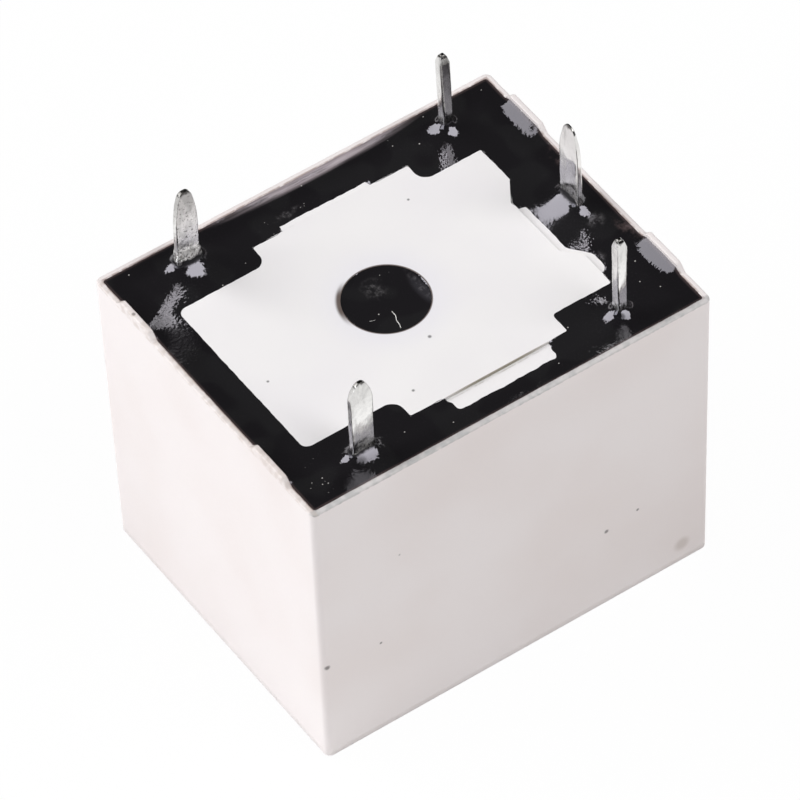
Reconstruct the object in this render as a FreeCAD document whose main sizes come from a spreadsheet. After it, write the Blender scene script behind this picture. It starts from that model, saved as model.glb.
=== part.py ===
import FreeCAD, Part
import Sketcher
import math
import os
import re

# A miniature power relay for a printed circuit board: a sealed changeover relay in a white box.
#
# It lies on the closed top of its cover, with its five pins up. The origin is the centre of that
# flat top face, +X runs along the case towards the common pin, and +Z runs towards the pins.
# The coil, core and yoke hang from the base. The armature rocks on the yoke's free end, and its
# leaf spring carries the moving contact between the two fixed contacts. Black sealant fills the
# channel round the base's raised middle and the hole over the core's staked end.
#
# All sizes are in millimetres and degrees. "Low" and "high" are along +Z.

SIZES = [
    # Cover
    ("end_room", 0.95, "common pin to the wall at the case's end"),
    ("side_room", 1.05, "farther contact terminal to the side wall"),
    ("rim_height", 14.95, "cover's flat top face to its open rim"),
    ("case_draft", 0.15, "how much each side leans in from the rim to the top face"),
    ("case_wall", 0.45, "cover's side walls, at the closed top"),
    ("rim_wall", 0.25, "cover's side walls, at the rim"),
    ("case_top", 0.6, "cover's closed top"),
    ("case_edge", 0.28, "radius of the cover's upright edges"),
    ("case_bevel", 0.12, "bevel round the cover's flat top face"),
    ("cavity_corner", 0.12, "radius of the cavity's upright corners"),
    ("rim_lead_in", 0.06, "chamfer inside the rim"),
    ("tab_height", 0.35, "standoff tabs, above the rim"),
    ("tab_width", 2.6, "standoff tabs, along Y at the foot"),
    ("tab_spacing", 9.2, "between the middles of a side's two tabs"),
    ("tab_middle_y", 0.1, "middle of the four tabs"),
    # Pins
    ("pin_length", 3.75, "pins, above the tabs that rest on the board"),
    ("contact_row_x", -6.1, "row of the two contact pins"),
    ("row_pitch", 12.2, "contact row to coil row"),
    ("common_step", 1.95, "coil row to the common pin"),
    ("pin_pitch", 12.0, "between the two pins of a row"),
    ("pin_middle_y", 0.1, "middle of both rows"),
    ("common_pin_y", -0.1, "common pin"),
    ("coil_pin_side", 0.46, "square coil pins"),
    ("coil_tip", 0.35, "length of a coil pin's pointed end"),
    ("coil_tip_slope", 20.0, "lean of the four faces there"),
    ("strip_thickness", 0.3, "sheet of the three contact terminals"),
    ("contact_pin_width", 1.0, "contact pins"),
    ("common_pin_width", 1.2, "common pin"),
    ("blade_tip", 1.3, "length of a flat pin's tapered end"),
    ("blade_tip_bow", 7.0, "radius where the taper starts"),
    ("blade_tip_width", 0.45, "flat pins, at the very end"),
    ("blade_tip_corner", 0.13, "radius of the corners there"),
    # Base and sealant
    ("plateau_depth", 0.2, "rim down to the base's raised middle"),
    ("channel_depth", 0.8, "raised middle down to the channel's floor"),
    ("base_plate", 1.05, "base, under the channel"),
    ("base_clearance", 0.05, "base to the cover's walls"),
    ("slot_clearance", 0.06, "base's slots round the pins"),
    ("plateau_overlap", 1.55, "raised middle, past the contact row"),
    ("plateau_overrun", 0.78, "raised middle, past the coil row"),
    ("shoulder_relief", 1.47, "raised middle's ends to the nearer pins, along Y"),
    ("shoulder_step", 1.02, "its wide part, beyond those ends"),
    ("contact_relief", 2.68, "its wide part to the contact row, along X"),
    ("coil_relief", 2.05, "its wide part to the coil row, along X"),
    ("waist_relief", 1.85, "raised middle to the common pin"),
    ("waist_low_y", 1.35, "start of the relief beside the common pin"),
    ("waist_end_y", 2.4, "end of that relief on the +Y side"),
    ("waist_far_y", 2.5, "end of that relief on the -Y side"),
    ("plateau_corner", 0.4, "outer corners of the raised middle's long end"),
    ("notch_radius", 0.5, "hollow corners of the raised middle"),
    ("plateau_nick", 0.12, "small corners of the raised middle"),
    ("ledge_drop", 0.12, "raised middle down to the ledges beside it"),
    ("ledge_corner", 0.28, "corners of those ledges"),
    ("near_ledge_step", 0.83, "ledge on the -Y side, beyond the wide part"),
    ("near_ledge_left", 1.75, "that ledge, reach towards -X"),
    ("near_ledge_right", 3.1, "that ledge, reach towards +X"),
    ("far_ledge_step", 0.4, "ledge on the +Y side, beyond the wide part"),
    ("far_ledge_left", 1.9, "that ledge, reach towards -X"),
    ("far_ledge_right", 2.3, "that ledge, reach towards +X"),
    ("side_ledge_step", 0.42, "ledge beside the common pin, beyond the raised middle"),
    ("tongue_step", 1.08, "that ledge's tongue, beyond the raised middle"),
    ("side_ledge_end_y", 3.65, "end of the tongue, towards -Y"),
    ("side_ledge_start_y", 1.0, "start of that ledge, on the +Y side"),
    ("recess_radius", 1.78, "hole over the core's staked end"),
    ("rail_depth", 0.8, "rails under the base that hold the yoke"),
    ("rail_width", 0.7, "those rails, along Y"),
    ("sealant_sag", 0.17, "raised middle down to the sealant between the walls"),
    ("sealant_climb", 0.4, "width of the sealant's rise along the walls"),
    ("sealant_edge", 0.04, "flat top of that rise"),
    ("pin_climb", 0.4, "sealant's rise at the pins, in height and in width"),
    ("plug_drop", 0.1, "raised middle down to that sealant's edge"),
    ("plug_dish", 0.12, "how far the sealant over the core dips in its middle"),
    ("plug_flat_radius", 1.05, "flat middle of that dip"),
    # Magnet
    ("core_to_face", 6.9, "core and coil axis to the yoke's outer face"),
    ("core_y", 0.1, "core and coil axis"),
    ("core_radius", 1.9, "core's shank"),
    ("pole_radius", 3.0, "core's head"),
    ("pole_thickness", 0.8, "core's head"),
    ("tail_radius", 1.4, "core's end through the yoke"),
    ("tail_spread", 0.2, "how far the staked end spreads over its hole"),
    ("tail_rise", 0.5, "staked end, above the yoke"),
    ("tail_bevel", 0.25, "bevel round the staked end"),
    ("yoke_gap", 0.02, "closed armature to the yoke's end"),
    ("pole_gap", 0.03, "closed armature to the core's head"),
    ("yoke_thickness", 1.2, "yoke's sheet"),
    ("yoke_step", 0.1, "yoke's outer face, past the coil row"),
    ("yoke_overhang", 3.2, "yoke's leg beyond the core axis"),
    ("yoke_bend", 0.6, "outer radius of the yoke's bend"),
    ("yoke_crease", 0.08, "inner radius of that bend, clear of the bobbin"),
    # Coil
    ("flange_thickness", 0.7, "bobbin's two flanges"),
    ("flange_room", 0.35, "flanges to the nearer contact terminal"),
    ("flange_left", 5.4, "flanges, from the core axis towards -X"),
    ("bobbin_clearance", 0.05, "bobbin to the core and to the winding"),
    ("yoke_clearance", 0.1, "bobbin and rails to the yoke's edges"),
    ("spool_wall", 0.5, "bobbin's tube"),
    ("flange_corner", 0.5, "corners of the flanges"),
    ("ear_margin", 0.42, "bobbin's ears, outside the middle of the coil pins"),
    ("ear_wall", 0.67, "bobbin's ears, between a coil pin and the yoke"),
    ("ear_length", 2.6, "bobbin's ears, along X"),
    ("winding_margin", 0.4, "winding to the flanges' edges"),
    ("coil_pin_tail", 0.9, "coil pins, below the bobbin's ears"),
    ("wire_radius", 0.06, "ends of the winding wire"),
    ("wrap_height", 0.5, "each wire end's close turns round its pin"),
    ("wrap_slack", 0.01, "those turns to the pin's corners"),
    ("wire_start_angle", 60.0, "where each wire end leaves the winding"),
    # Armature and leaf spring
    ("open_angle", 2.1, "armature's swing, from open to closed"),
    ("armature_overhang", 2.7, "armature, beyond the core axis"),
    ("armature_inset", 0.3, "armature's sides to the yoke's"),
    ("armature_thickness", 1.1, "armature's sheet"),
    ("armature_nose", 5.2, "armature's front edge, along Y"),
    ("armature_taper", 1.9, "length of its tapered front"),
    ("armature_heel", 0.55, "bevel at its hinge end, clear of the leaf's bend"),
    ("leaf_thickness", 0.13, "leaf spring's sheet"),
    ("leaf_width", 5.2, "leaf spring, along Y"),
    ("leaf_nose", 2.4, "leaf spring at the moving contact"),
    ("leaf_bend", 0.45, "inner radius of the leaf's bend"),
    ("leaf_gap", 0.02, "leaf to the yoke's outer face"),
    ("leaf_upright", 4.6, "leaf's upright leg, above the pivot"),
    ("leaf_end", 0.75, "leaf, beyond the moving contact's axis"),
    # Contacts
    ("contact_step", 1.0, "contact row to the axis of the three contacts, when closed"),
    ("top_room", 0.216, "lowest contact's staked end to the cover's closed top"),
    ("head_radius", 0.8, "fixed contacts' heads"),
    ("head_height", 0.3, "fixed contacts' heads"),
    ("head_bevel", 0.1, "how much the heads of contacts and rivets narrow"),
    ("shank_radius", 0.4, "shanks of contacts and rivets"),
    ("stake_height", 0.2, "staked ends of contacts and rivets"),
    ("stake_radius", 0.62, "staked ends of contacts and rivets"),
    ("moving_radius", 0.72, "moving contact's two heads"),
    ("moving_low", 0.3, "moving contact's head on the resting side"),
    ("moving_high", 0.35, "moving contact's head on the working side"),
    ("contact_gap", 0.04, "moving contact to a fixed one, where it stops"),
    ("finger_margin", 1.1, "contact terminals' sheet round the contact axis"),
    ("finger_end", 1.0, "contact terminals' sheet past the contact axis"),
    ("sheet_bend", 0.2, "inner radius of the terminals' bends"),
    ("shoulder_low", 1.3, "terminals' wide part, below the base"),
    # Rivets
    ("yoke_rivet_spacing", 3.2, "two rivets through the yoke's upright leg"),
    ("yoke_rivet_rise", 3.3, "pivot up to those rivets"),
    ("rivet_head_radius", 0.7, "rivet heads"),
    ("rivet_head", 0.25, "rivet heads"),
    ("common_foot_rise", 1.5, "pivot up to the common terminal's lower end"),
    ("common_width", 4.8, "common terminal's wide part"),
    ("common_jog_drop", 0.75, "base down to the common terminal's jog"),
    ("armature_rivet_x", 4.4, "two rivets in the armature, from the pivot"),
    ("armature_rivet_spacing", 3.2, "those two rivets"),
]

# Heights and places that follow from the sizes.
PLACES = {
    # Along X
    "coil_row_x": "contact_row_x + row_pitch",
    "common_x": "coil_row_x + common_step",
    "case_length": "2 * (common_x + strip_thickness / 2 + end_room + rim_wall)",
    "yoke_face_x": "coil_row_x + yoke_step",
    "yoke_inner_x": "yoke_face_x - yoke_thickness",
    "core_x": "yoke_face_x - core_to_face",
    "leaf_face_x": "yoke_face_x + leaf_gap",
    "common_face_x": "leaf_face_x + leaf_thickness",
    "contact_x": "contact_row_x - contact_step",
    "contact_reach": "yoke_face_x - contact_x",
    "armature_length": "core_to_face + armature_overhang",
    "plateau_left": "plateau_overlap - contact_row_x",
    "plateau_right": "coil_row_x + plateau_overrun",
    "wide_part_left": "-contact_row_x - contact_relief",
    "wide_part_right": "coil_row_x - coil_relief",
    "waist_x": "common_x - waist_relief",
    "side_ledge_reach": "waist_x + side_ledge_step",
    "side_ledge_tongue": "waist_x + tongue_step",
    # Along Y
    "far_pin_y": "pin_middle_y + pin_pitch / 2",
    "near_pin_y": "pin_middle_y - pin_pitch / 2",
    "case_width": "2 * (far_pin_y + strip_thickness / 2 + side_room + rim_wall)",
    "shoulder_half_width": "-near_pin_y - shoulder_relief",
    "plateau_half_width": "shoulder_half_width + shoulder_step",
    "near_ledge_reach": "plateau_half_width + near_ledge_step",
    "far_ledge_reach": "plateau_half_width + far_ledge_step",
    "flange_half_width": "core_y - near_pin_y - strip_thickness / 2 - flange_room",
    "winding_radius": "flange_half_width - winding_margin",
    "yoke_half_width": "core_y - near_pin_y - coil_pin_side / 2 - ear_wall - yoke_clearance",
    "yoke_width": "2 * yoke_half_width",
    "armature_width": "yoke_width - 2 * armature_inset",
    # Along Z, from the closed top of the cover up to the armature's pivot
    "low_sheet": "case_top + top_room + stake_height",
    "low_contact_face": "low_sheet + strip_thickness + head_height",
    "moving_fall": "(contact_reach + moving_radius) * sin(open_angle)",
    "leaf_low": "armature_thickness + leaf_thickness",
    "hinge_height": "low_contact_face + contact_gap + moving_fall + moving_low + leaf_low",
    "yoke_end": "hinge_height + yoke_gap",
    "pole_face": "hinge_height + pole_gap",
    "bobbin_low": "pole_face + pole_thickness",
    "high_contact_face": "hinge_height - armature_thickness + moving_high + contact_gap",
    "high_sheet": "high_contact_face + head_height",
    "yoke_rivet_height": "hinge_height + yoke_rivet_rise",
    "common_foot": "hinge_height + common_foot_rise",
    # Along Z, from the rim down to the coil
    "cavity_lean": "case_draft + case_wall - rim_wall",
    "seat_height": "rim_height + tab_height",
    "pin_tip": "seat_height + pin_length",
    "plateau_top": "rim_height - plateau_depth",
    "channel_floor": "plateau_top - channel_depth",
    "base_underside": "channel_floor - base_plate",
    "sealant_level": "plateau_top - sealant_sag",
    "yoke_underside": "base_underside - yoke_thickness",
    "ear_underside": "yoke_underside - flange_thickness",
    "shoulder_top": "base_underside - shoulder_low",
    "common_jog": "base_underside - common_jog_drop",
}

SIZE_NAMES = {name for name, number, meaning in SIZES}
EXACT = 1e-6          # two lengths closer than this are the same
SLIGHT = 0.2          # two faces that meet at less than this angle, in radians, are flush
FAR = "60"            # a cut longer than any piece
PAST = "1"            # how far a cut's outline runs past the edge that it cuts

doc = FreeCAD.newDocument("pcb_power_relay")
sheet = doc.addObject("Spreadsheet::Sheet", "Sizes")
for row, (size_name, number, meaning) in enumerate(SIZES, start=1):
    sheet.set(f"A{row}", meaning)
    sheet.set(f"B{row}", str(number))
    sheet.setAlias(f"B{row}", size_name)
doc.recompute()


# Formulas

def formula(text):
    """Spell out a formula of sizes and places as the document's own expression."""
    def spell(match):
        word = match.group()
        if word in PLACES:
            return "(" + formula(PLACES[word]) + ")"
        return "Sizes." + word if word in SIZE_NAMES else word
    return re.sub(r"[a-z][a-z_]*", spell, text)


def value(text):
    """The number that a formula gives now."""
    result = sheet.evalExpression(formula(text))
    return float(getattr(result, "Value", result))


def bind(thing, **formulas):
    """Tie a feature's properties to formulas."""
    for name, text in formulas.items():
        thing.setExpression(name, formula(text))


def shift(thing, x="0", y="0", z="0"):
    """Tie the place of a body or a primitive to formulas."""
    for axis, text in zip("xyz", (x, y, z)):
        thing.setExpression("Placement.Base." + axis, formula(text))


def swing_open(thing, x="0", y="0", z="0"):
    """Carry a piece, drawn about the pivot, to the armature's open rest position."""
    thing.Placement.Rotation = FreeCAD.Rotation(FreeCAD.Vector(0, 1, 0), -1)
    thing.setExpression("Placement.Rotation.Angle", formula("-open_angle"))
    shift(thing,
          f"yoke_face_x + ({x}) * cos(open_angle) - ({z}) * sin(open_angle)",
          y,
          f"hinge_height + ({x}) * sin(open_angle) + ({z}) * cos(open_angle)")


# Sketches and features

def new_body(label):
    body = doc.addObject("PartDesign::Body", label)
    body.Label = label
    return body


def new_sketch(body, plane, height):
    """An empty sketch on one of the body's own planes, moved along its normal."""
    sketch = body.newObject("Sketcher::SketchObject", body.Name + "_sketch")
    origin_plane = next(f for f in body.Origin.OriginFeatures if f.Role == plane + "_Plane")
    sketch.AttachmentSupport = (origin_plane, "")
    sketch.MapMode = "FlatFace"
    sketch.setExpression("AttachmentOffset.Base.z", formula(height))
    return sketch


def tie_point(sketch, element, point, x, y, now):
    """Tie a point of the sketch to two formulas."""
    for kind, text, number in (("DistanceX", x, now.x), ("DistanceY", y, now.y)):
        index = sketch.addConstraint(Sketcher.Constraint(kind, -1, 1, element, point, number))
        sketch.setExpression(f"Constraints[{index}]", formula(text))


def add_outline(sketch, corners):
    """Draw a closed outline. A corner is (x, y) or, where it is rounded, (x, y, radius)."""
    places = [FreeCAD.Vector(value(c[0]), value(c[1]), 0) for c in corners]
    radii = [value(c[2]) if len(c) > 2 else 0 for c in corners]
    count = len(corners)
    arrive, leave, bows = [], [], []
    for i, (corner, radius) in enumerate(zip(places, radii)):
        back = (corner - places[i - 1]).normalize()
        ahead = (places[(i + 1) % count] - corner).normalize()
        turn = math.atan2(back.x * ahead.y - back.y * ahead.x, back.dot(ahead))
        cut = radius * math.tan(abs(turn) / 2)
        arrive.append(corner - back * cut)
        leave.append(corner + ahead * cut)
        side = FreeCAD.Vector(-back.y, back.x, 0) * math.copysign(radius, turn)
        bows.append((arrive[i] + side, turn))
    first = sketch.GeometryCount
    for i in range(count):
        sketch.addGeometry(Part.LineSegment(leave[i], arrive[(i + 1) % count]), False)
    for i, corner in enumerate(corners):
        before, after = first + (i - 1) % count, first + i
        if radii[i] < EXACT:
            sketch.addConstraint(Sketcher.Constraint("Coincident", before, 2, after, 1))
            tie_point(sketch, after, 1, corner[0], corner[1], places[i])
            continue
        centre, turn = bows[i]
        ends = [arrive[i] - centre, leave[i] - centre]
        if turn < 0:
            ends.reverse()
        angles = [math.atan2(end.y, end.x) for end in ends]
        circle = Part.Circle(centre, FreeCAD.Vector(0, 0, 1), radii[i])
        bow = sketch.addGeometry(Part.ArcOfCircle(circle, angles[0], angles[1]), False)
        start, end = (1, 2) if turn > 0 else (2, 1)
        sketch.addConstraint(Sketcher.Constraint("Tangent", before, 2, bow, start))
        sketch.addConstraint(Sketcher.Constraint("Tangent", bow, end, after, 1))
        index = sketch.addConstraint(Sketcher.Constraint("Radius", bow, radii[i]))
        sketch.setExpression(f"Constraints[{index}]", formula(corner[2]))
        sharp = sketch.addGeometry(Part.Point(places[i]), True)
        sketch.addConstraint(Sketcher.Constraint("PointOnObject", sharp, 1, before))
        sketch.addConstraint(Sketcher.Constraint("PointOnObject", sharp, 1, after))
        tie_point(sketch, sharp, 1, corner[0], corner[1], places[i])


def add_circle(sketch, x, y, radius):
    """Draw a circle whose centre and radius are formulas."""
    centre = FreeCAD.Vector(value(x), value(y), 0)
    circle = Part.Circle(centre, FreeCAD.Vector(0, 0, 1), value(radius))
    element = sketch.addGeometry(circle, False)
    index = sketch.addConstraint(Sketcher.Constraint("Radius", element, value(radius)))
    sketch.setExpression(f"Constraints[{index}]", formula(radius))
    tie_point(sketch, element, 3, x, y, centre)


def rectangle(left, right, low, high, radius=None):
    """The four corners of a rectangle, for add_outline."""
    corners = [(left, low), (right, low), (right, high), (left, high)]
    return [corner + (radius,) if radius else corner for corner in corners]


def pad(body, length, *outlines, plane="XY", height="0", taper=None, both=False, down=False):
    """Add material: outlines drawn on a plane and drawn out along its normal."""
    sketch = new_sketch(body, plane, height)
    for outline in outlines:
        add_outline(sketch, outline)
    feature = body.newObject("PartDesign::Pad", body.Name + "_pad")
    return finish_profile(feature, sketch, length, taper, both, down)


def pocket(body, length, *outlines, plane="XY", height="0", taper=None, both=False, down=True):
    """Take material away, and check that some has gone."""
    sketch = new_sketch(body, plane, height)
    for outline in outlines:
        add_outline(sketch, outline)
    return cut_profile(body, sketch, length, taper, both, down)


def drill(body, x, y, radius, plane="XY"):
    """Cut a round hole right through."""
    sketch = new_sketch(body, plane, "0")
    add_circle(sketch, x, y, radius)
    return cut_profile(body, sketch, FAR, None, True, True)


def cut_profile(body, sketch, length, taper, both, down):
    doc.recompute()
    before = body.Shape.Volume
    feature = body.newObject("PartDesign::Pocket", body.Name + "_pocket")
    finish_profile(feature, sketch, length, taper, both, not down)
    doc.recompute()
    if body.Shape.Volume > before - EXACT:
        raise RuntimeError(f"{feature.Label} cuts nothing")
    return feature


def finish_profile(feature, sketch, length, taper, both, reverse):
    feature.Profile = sketch
    feature.Reversed = reverse
    feature.SideType = "Symmetric" if both else "One side"
    bind(feature, Length=length)
    if taper:
        bind(feature, TaperAngle=taper)
    return feature


def revolve(body, corners):
    """Turn a half profile, drawn in the XZ plane with its axis on Z, into a solid."""
    sketch = new_sketch(body, "XZ", "0")
    add_outline(sketch, corners)
    turned = body.newObject("PartDesign::Revolution", body.Name + "_turned")
    turned.Profile = sketch
    turned.ReferenceAxis = (sketch, ["V_Axis"])
    turned.Angle = 360
    return turned


def boolean(kind, label, first, tools):
    """A cut or a fusion of finished pieces."""
    if kind == "Part::Cut":
        whole = doc.addObject("Part::Cut", label)
        whole.Base = first
        whole.Tool = tools
    else:
        whole = doc.addObject(kind, label)
        whole.Shapes = [first] + tools
    whole.Label = label
    return whole


def primitive(kind, name, **formulas):
    solid = doc.addObject(kind, name)
    bind(solid, **formulas)
    return solid


# Cover, base and sealant

def cavity(height, clearance="0", corner="cavity_corner"):
    """The cover's cavity at a height, less a clearance all round."""
    inset = f"rim_wall + cavity_lean * (1 - ({height}) / rim_height) + ({clearance})"
    half_length = f"case_length / 2 - ({inset})"
    half_width = f"case_width / 2 - ({inset})"
    return rectangle(f"-({half_length})", half_length, f"-({half_width})", half_width, corner)


def round_uprights(body, feature, radius):
    """Round the sharp edges that run up the whole of a feature."""
    doc.recompute()
    tall = value("rim_height") / 2
    edges = [f"Edge{i}" for i, edge in enumerate(feature.Shape.Edges, start=1)
             if edge.BoundBox.ZLength > tall and is_sharp(feature.Shape, edge)]
    fillet = body.newObject("PartDesign::Fillet", body.Name + "_rounding")
    fillet.Base = (feature, edges)
    bind(fillet, Radius=radius)
    doc.recompute()
    return fillet


def is_sharp(shape, edge):
    """Whether the two faces beside a straight edge meet at an angle there."""
    sides = shape.ancestorsOfType(edge, Part.Face)
    first, second = (side.normalAt(*side.Surface.parameter(edge.valueAt(edge.FirstParameter)))
                     for side in sides)
    return first.getAngle(second) > SLIGHT


def bevel_level(body, feature, height, size):
    """Bevel round every flat face of a feature that lies at one height."""
    doc.recompute()
    level = value(height)
    faces = [f"Face{i}" for i, face in enumerate(feature.Shape.Faces, start=1)
             if max(abs(face.BoundBox.ZMin - level), abs(face.BoundBox.ZMax - level)) < EXACT]
    bevel = body.newObject("PartDesign::Chamfer", body.Name + "_bevel")
    bevel.Base = (feature, faces)
    bind(bevel, Size=size)


def make_cover():
    """A moulded box, open towards the pins, with four standoff tabs on its short sides."""
    cover = new_body("cover")
    half_length = "(case_length / 2 - case_draft)"
    half_width = "(case_width / 2 - case_draft)"
    block = pad(cover, "rim_height",
                rectangle(f"-{half_length}", half_length, f"-{half_width}", half_width),
                taper="atan(case_draft / rim_height)")
    rounded = round_uprights(cover, block, "case_edge")
    bevel_level(cover, rounded, "0", "case_bevel")
    hollow = pocket(cover, "rim_height - case_top", cavity("rim_height", corner=None),
                    height="rim_height", taper="-atan(cavity_lean / rim_height)")
    round_uprights(cover, hollow, "cavity_corner")
    lead_in = "rim_wall - rim_lead_in"
    pocket(cover, "rim_lead_in",
           rectangle(f"-(case_length / 2 - ({lead_in}))", f"case_length / 2 - ({lead_in})",
                     f"-(case_width / 2 - ({lead_in}))", f"case_width / 2 - ({lead_in})",
                     "cavity_corner + rim_lead_in"),
           height="rim_height", taper="-45")
    for end in ("-case_length / 2", "case_length / 2 - rim_wall"):
        for middle in ("tab_middle_y + tab_spacing / 2", "tab_middle_y - tab_spacing / 2"):
            left, right = f"{middle} - tab_width / 2", f"{middle} + tab_width / 2"
            pad(cover, "rim_wall",
                [(left, "rim_height - rim_lead_in"),
                 (right, "rim_height - rim_lead_in"),
                 (right, "rim_height"),
                 (f"{right} - tab_height", "seat_height"),
                 (f"{left} + tab_height", "seat_height"),
                 (left, "rim_height")],
                plane="YZ", height=end)
    return cover


def plateau():
    """Outline of the base's raised middle, from its -X, -Y corner round by +X."""
    left, right = "-plateau_left", "plateau_right"
    near, far = "-shoulder_half_width", "shoulder_half_width"
    return [
        (left, near, "plateau_corner"),
        ("-wide_part_left", near, "notch_radius"),
        ("-wide_part_left", "-plateau_half_width", "plateau_nick"),
        ("wide_part_right", "-plateau_half_width", "plateau_nick"),
        ("wide_part_right", near, "plateau_nick"),
        (right, near, "plateau_nick"),
        (right, "-waist_far_y", "plateau_nick"),
        ("waist_x", "-waist_far_y + (plateau_right - waist_x)", "plateau_nick"),
        ("waist_x", "waist_low_y", "plateau_nick"),
        (right, "waist_end_y", "plateau_nick"),
        (right, far, "plateau_nick"),
        ("wide_part_right", far, "notch_radius"),
        ("wide_part_right", "plateau_half_width", "plateau_nick"),
        ("-wide_part_left", "plateau_half_width", "plateau_nick"),
        ("-wide_part_left", far, "notch_radius"),
        (left, far, "plateau_corner"),
    ]


def ledges():
    """Outlines of the three low ledges that stand out beside the raised middle."""
    inside = "(plateau_half_width - plateau_nick)"
    near = [("-near_ledge_left", "-near_ledge_reach", "ledge_corner"),
            ("near_ledge_right", "-near_ledge_reach", "ledge_corner"),
            ("near_ledge_right", f"-{inside}"),
            ("-near_ledge_left", f"-{inside}")]
    far = [("-far_ledge_left", inside),
           ("far_ledge_right", inside),
           ("far_ledge_right", "far_ledge_reach"),
           ("-far_ledge_left", "far_ledge_reach")]
    inner_x = "waist_x - plateau_nick"
    side = [(inner_x, "-side_ledge_end_y"),
            ("side_ledge_tongue", "-side_ledge_end_y", "ledge_corner"),
            ("side_ledge_tongue", "-waist_far_y - plateau_nick", "plateau_corner"),
            ("side_ledge_reach", "-waist_low_y - plateau_corner", "plateau_corner"),
            ("side_ledge_reach", "side_ledge_start_y", "plateau_nick"),
            (inner_x, "side_ledge_start_y")]
    return [near, far, side]


def pin_slots(clearance):
    """Outlines of the five pins where they pass through the base, with a clearance."""
    slots = []
    for y in ("far_pin_y", "near_pin_y"):
        reach = f"(coil_pin_side / 2 + {clearance})"
        slots.append(rectangle(f"coil_row_x - {reach}", f"coil_row_x + {reach}",
                               f"{y} - {reach}", f"{y} + {reach}"))
        across, along = f"(contact_pin_width / 2 + {clearance})", f"(strip_thickness / 2 + {clearance})"
        slots.append(rectangle(f"contact_row_x - {across}", f"contact_row_x + {across}",
                               f"{y} - {along}", f"{y} + {along}"))
    across, along = f"(common_pin_width / 2 + {clearance})", f"(strip_thickness / 2 + {clearance})"
    slots.append(rectangle(f"common_x - {along}", f"common_x + {along}",
                           f"common_pin_y - {across}", f"common_pin_y + {across}"))
    return slots


def make_base():
    """The plate that closes the cover: a raised middle, a channel round it and five slots."""
    base = new_body("base")
    pad(base, "base_plate", cavity("base_underside", "base_clearance"), height="base_underside")
    pad(base, "channel_depth", plateau(), height="channel_floor")
    for outline in ledges():
        pad(base, "channel_depth - ledge_drop", outline, height="channel_floor")
    for side in (-1, 1):
        inner = "yoke_width / 2 + yoke_clearance"
        edges = [f"core_y + {side} * ({inner})", f"core_y + {side} * ({inner} + rail_width)"]
        low, high = edges if side > 0 else reversed(edges)
        pad(base, "rail_depth",
            rectangle("core_x - yoke_overhang", "yoke_inner_x - rail_width", low, high),
            height="base_underside", down=True)
    drill(base, "core_x", "core_y", "recess_radius")
    pocket(base, "base_plate", *pin_slots("slot_clearance"), height="channel_floor")
    return base


def make_sealant_ring(base, pins):
    """Cured sealant in the channel. It rises along the walls and fits round every pin."""
    block = new_body("sealant_block")
    top = "rim_height - rim_lead_in"
    pad(block, f"{top} - channel_floor", cavity("channel_floor"), plateau(), height="channel_floor")
    climb_angle = f"atan(sealant_climb / ({top} - sealant_level))"
    pocket(block, f"{top} - sealant_level", cavity(top, "sealant_edge"), height=top,
           taper=f"-{climb_angle}")
    collars = pad(block, "pin_climb", *pin_slots("pin_climb"), height="sealant_level")
    bevel_level(block, collars, "sealant_level + pin_climb", "pin_climb - sealant_edge")
    solids = boolean("Part::MultiFuse", "sealant_voids", base, pins)
    return boolean("Part::Cut", "sealant_ring", block, solids)


def make_sealant_plug():
    """Sealant in the hole over the core's staked end, dished in its middle."""
    plug = new_body("sealant_plug")
    edge = "plateau_top - plug_drop"
    revolve(plug, [("0", "base_underside + tail_rise"),
                   ("recess_radius", "base_underside + tail_rise"),
                   ("recess_radius", edge),
                   ("plug_flat_radius", f"{edge} - plug_dish", "recess_radius"),
                   ("0", f"{edge} - plug_dish")])
    shift(plug, "core_x", "core_y")
    return plug


# Magnet and coil

def make_core():
    """A turned pin: a wide pole head, the shank, and a thin end staked over the yoke."""
    core = new_body("core")
    staked = "(tail_radius + tail_spread)"
    revolve(core, [("0", "pole_face"),
                   ("pole_radius", "pole_face"),
                   ("pole_radius", "bobbin_low"),
                   ("core_radius", "bobbin_low"),
                   ("core_radius", "yoke_underside"),
                   ("tail_radius", "yoke_underside"),
                   ("tail_radius", "base_underside"),
                   (staked, "base_underside"),
                   (staked, "base_underside + tail_rise - tail_bevel"),
                   (f"{staked} - tail_bevel", "base_underside + tail_rise"),
                   ("0", "base_underside + tail_rise")])
    shift(core, "core_x", "core_y")
    return core


def make_yoke():
    """A bent plate: one leg under the base, one down beside the coil to the armature."""
    yoke = new_body("yoke")
    end = "core_x - yoke_overhang"
    pad(yoke, "yoke_width",
        [(end, "yoke_underside"),
         ("yoke_inner_x", "yoke_underside", "yoke_crease"),
         ("yoke_inner_x", "yoke_end"),
         ("yoke_face_x", "yoke_end"),
         ("yoke_face_x", "base_underside", "yoke_bend"),
         (end, "base_underside")],
        plane="XZ", height="-core_y", both=True)
    drill(yoke, "core_x", "core_y", "tail_radius")
    for side in (-1, 1):
        drill(yoke, f"core_y + {side} * yoke_rivet_spacing / 2", "yoke_rivet_height",
              "shank_radius", plane="YZ")
    return yoke


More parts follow.
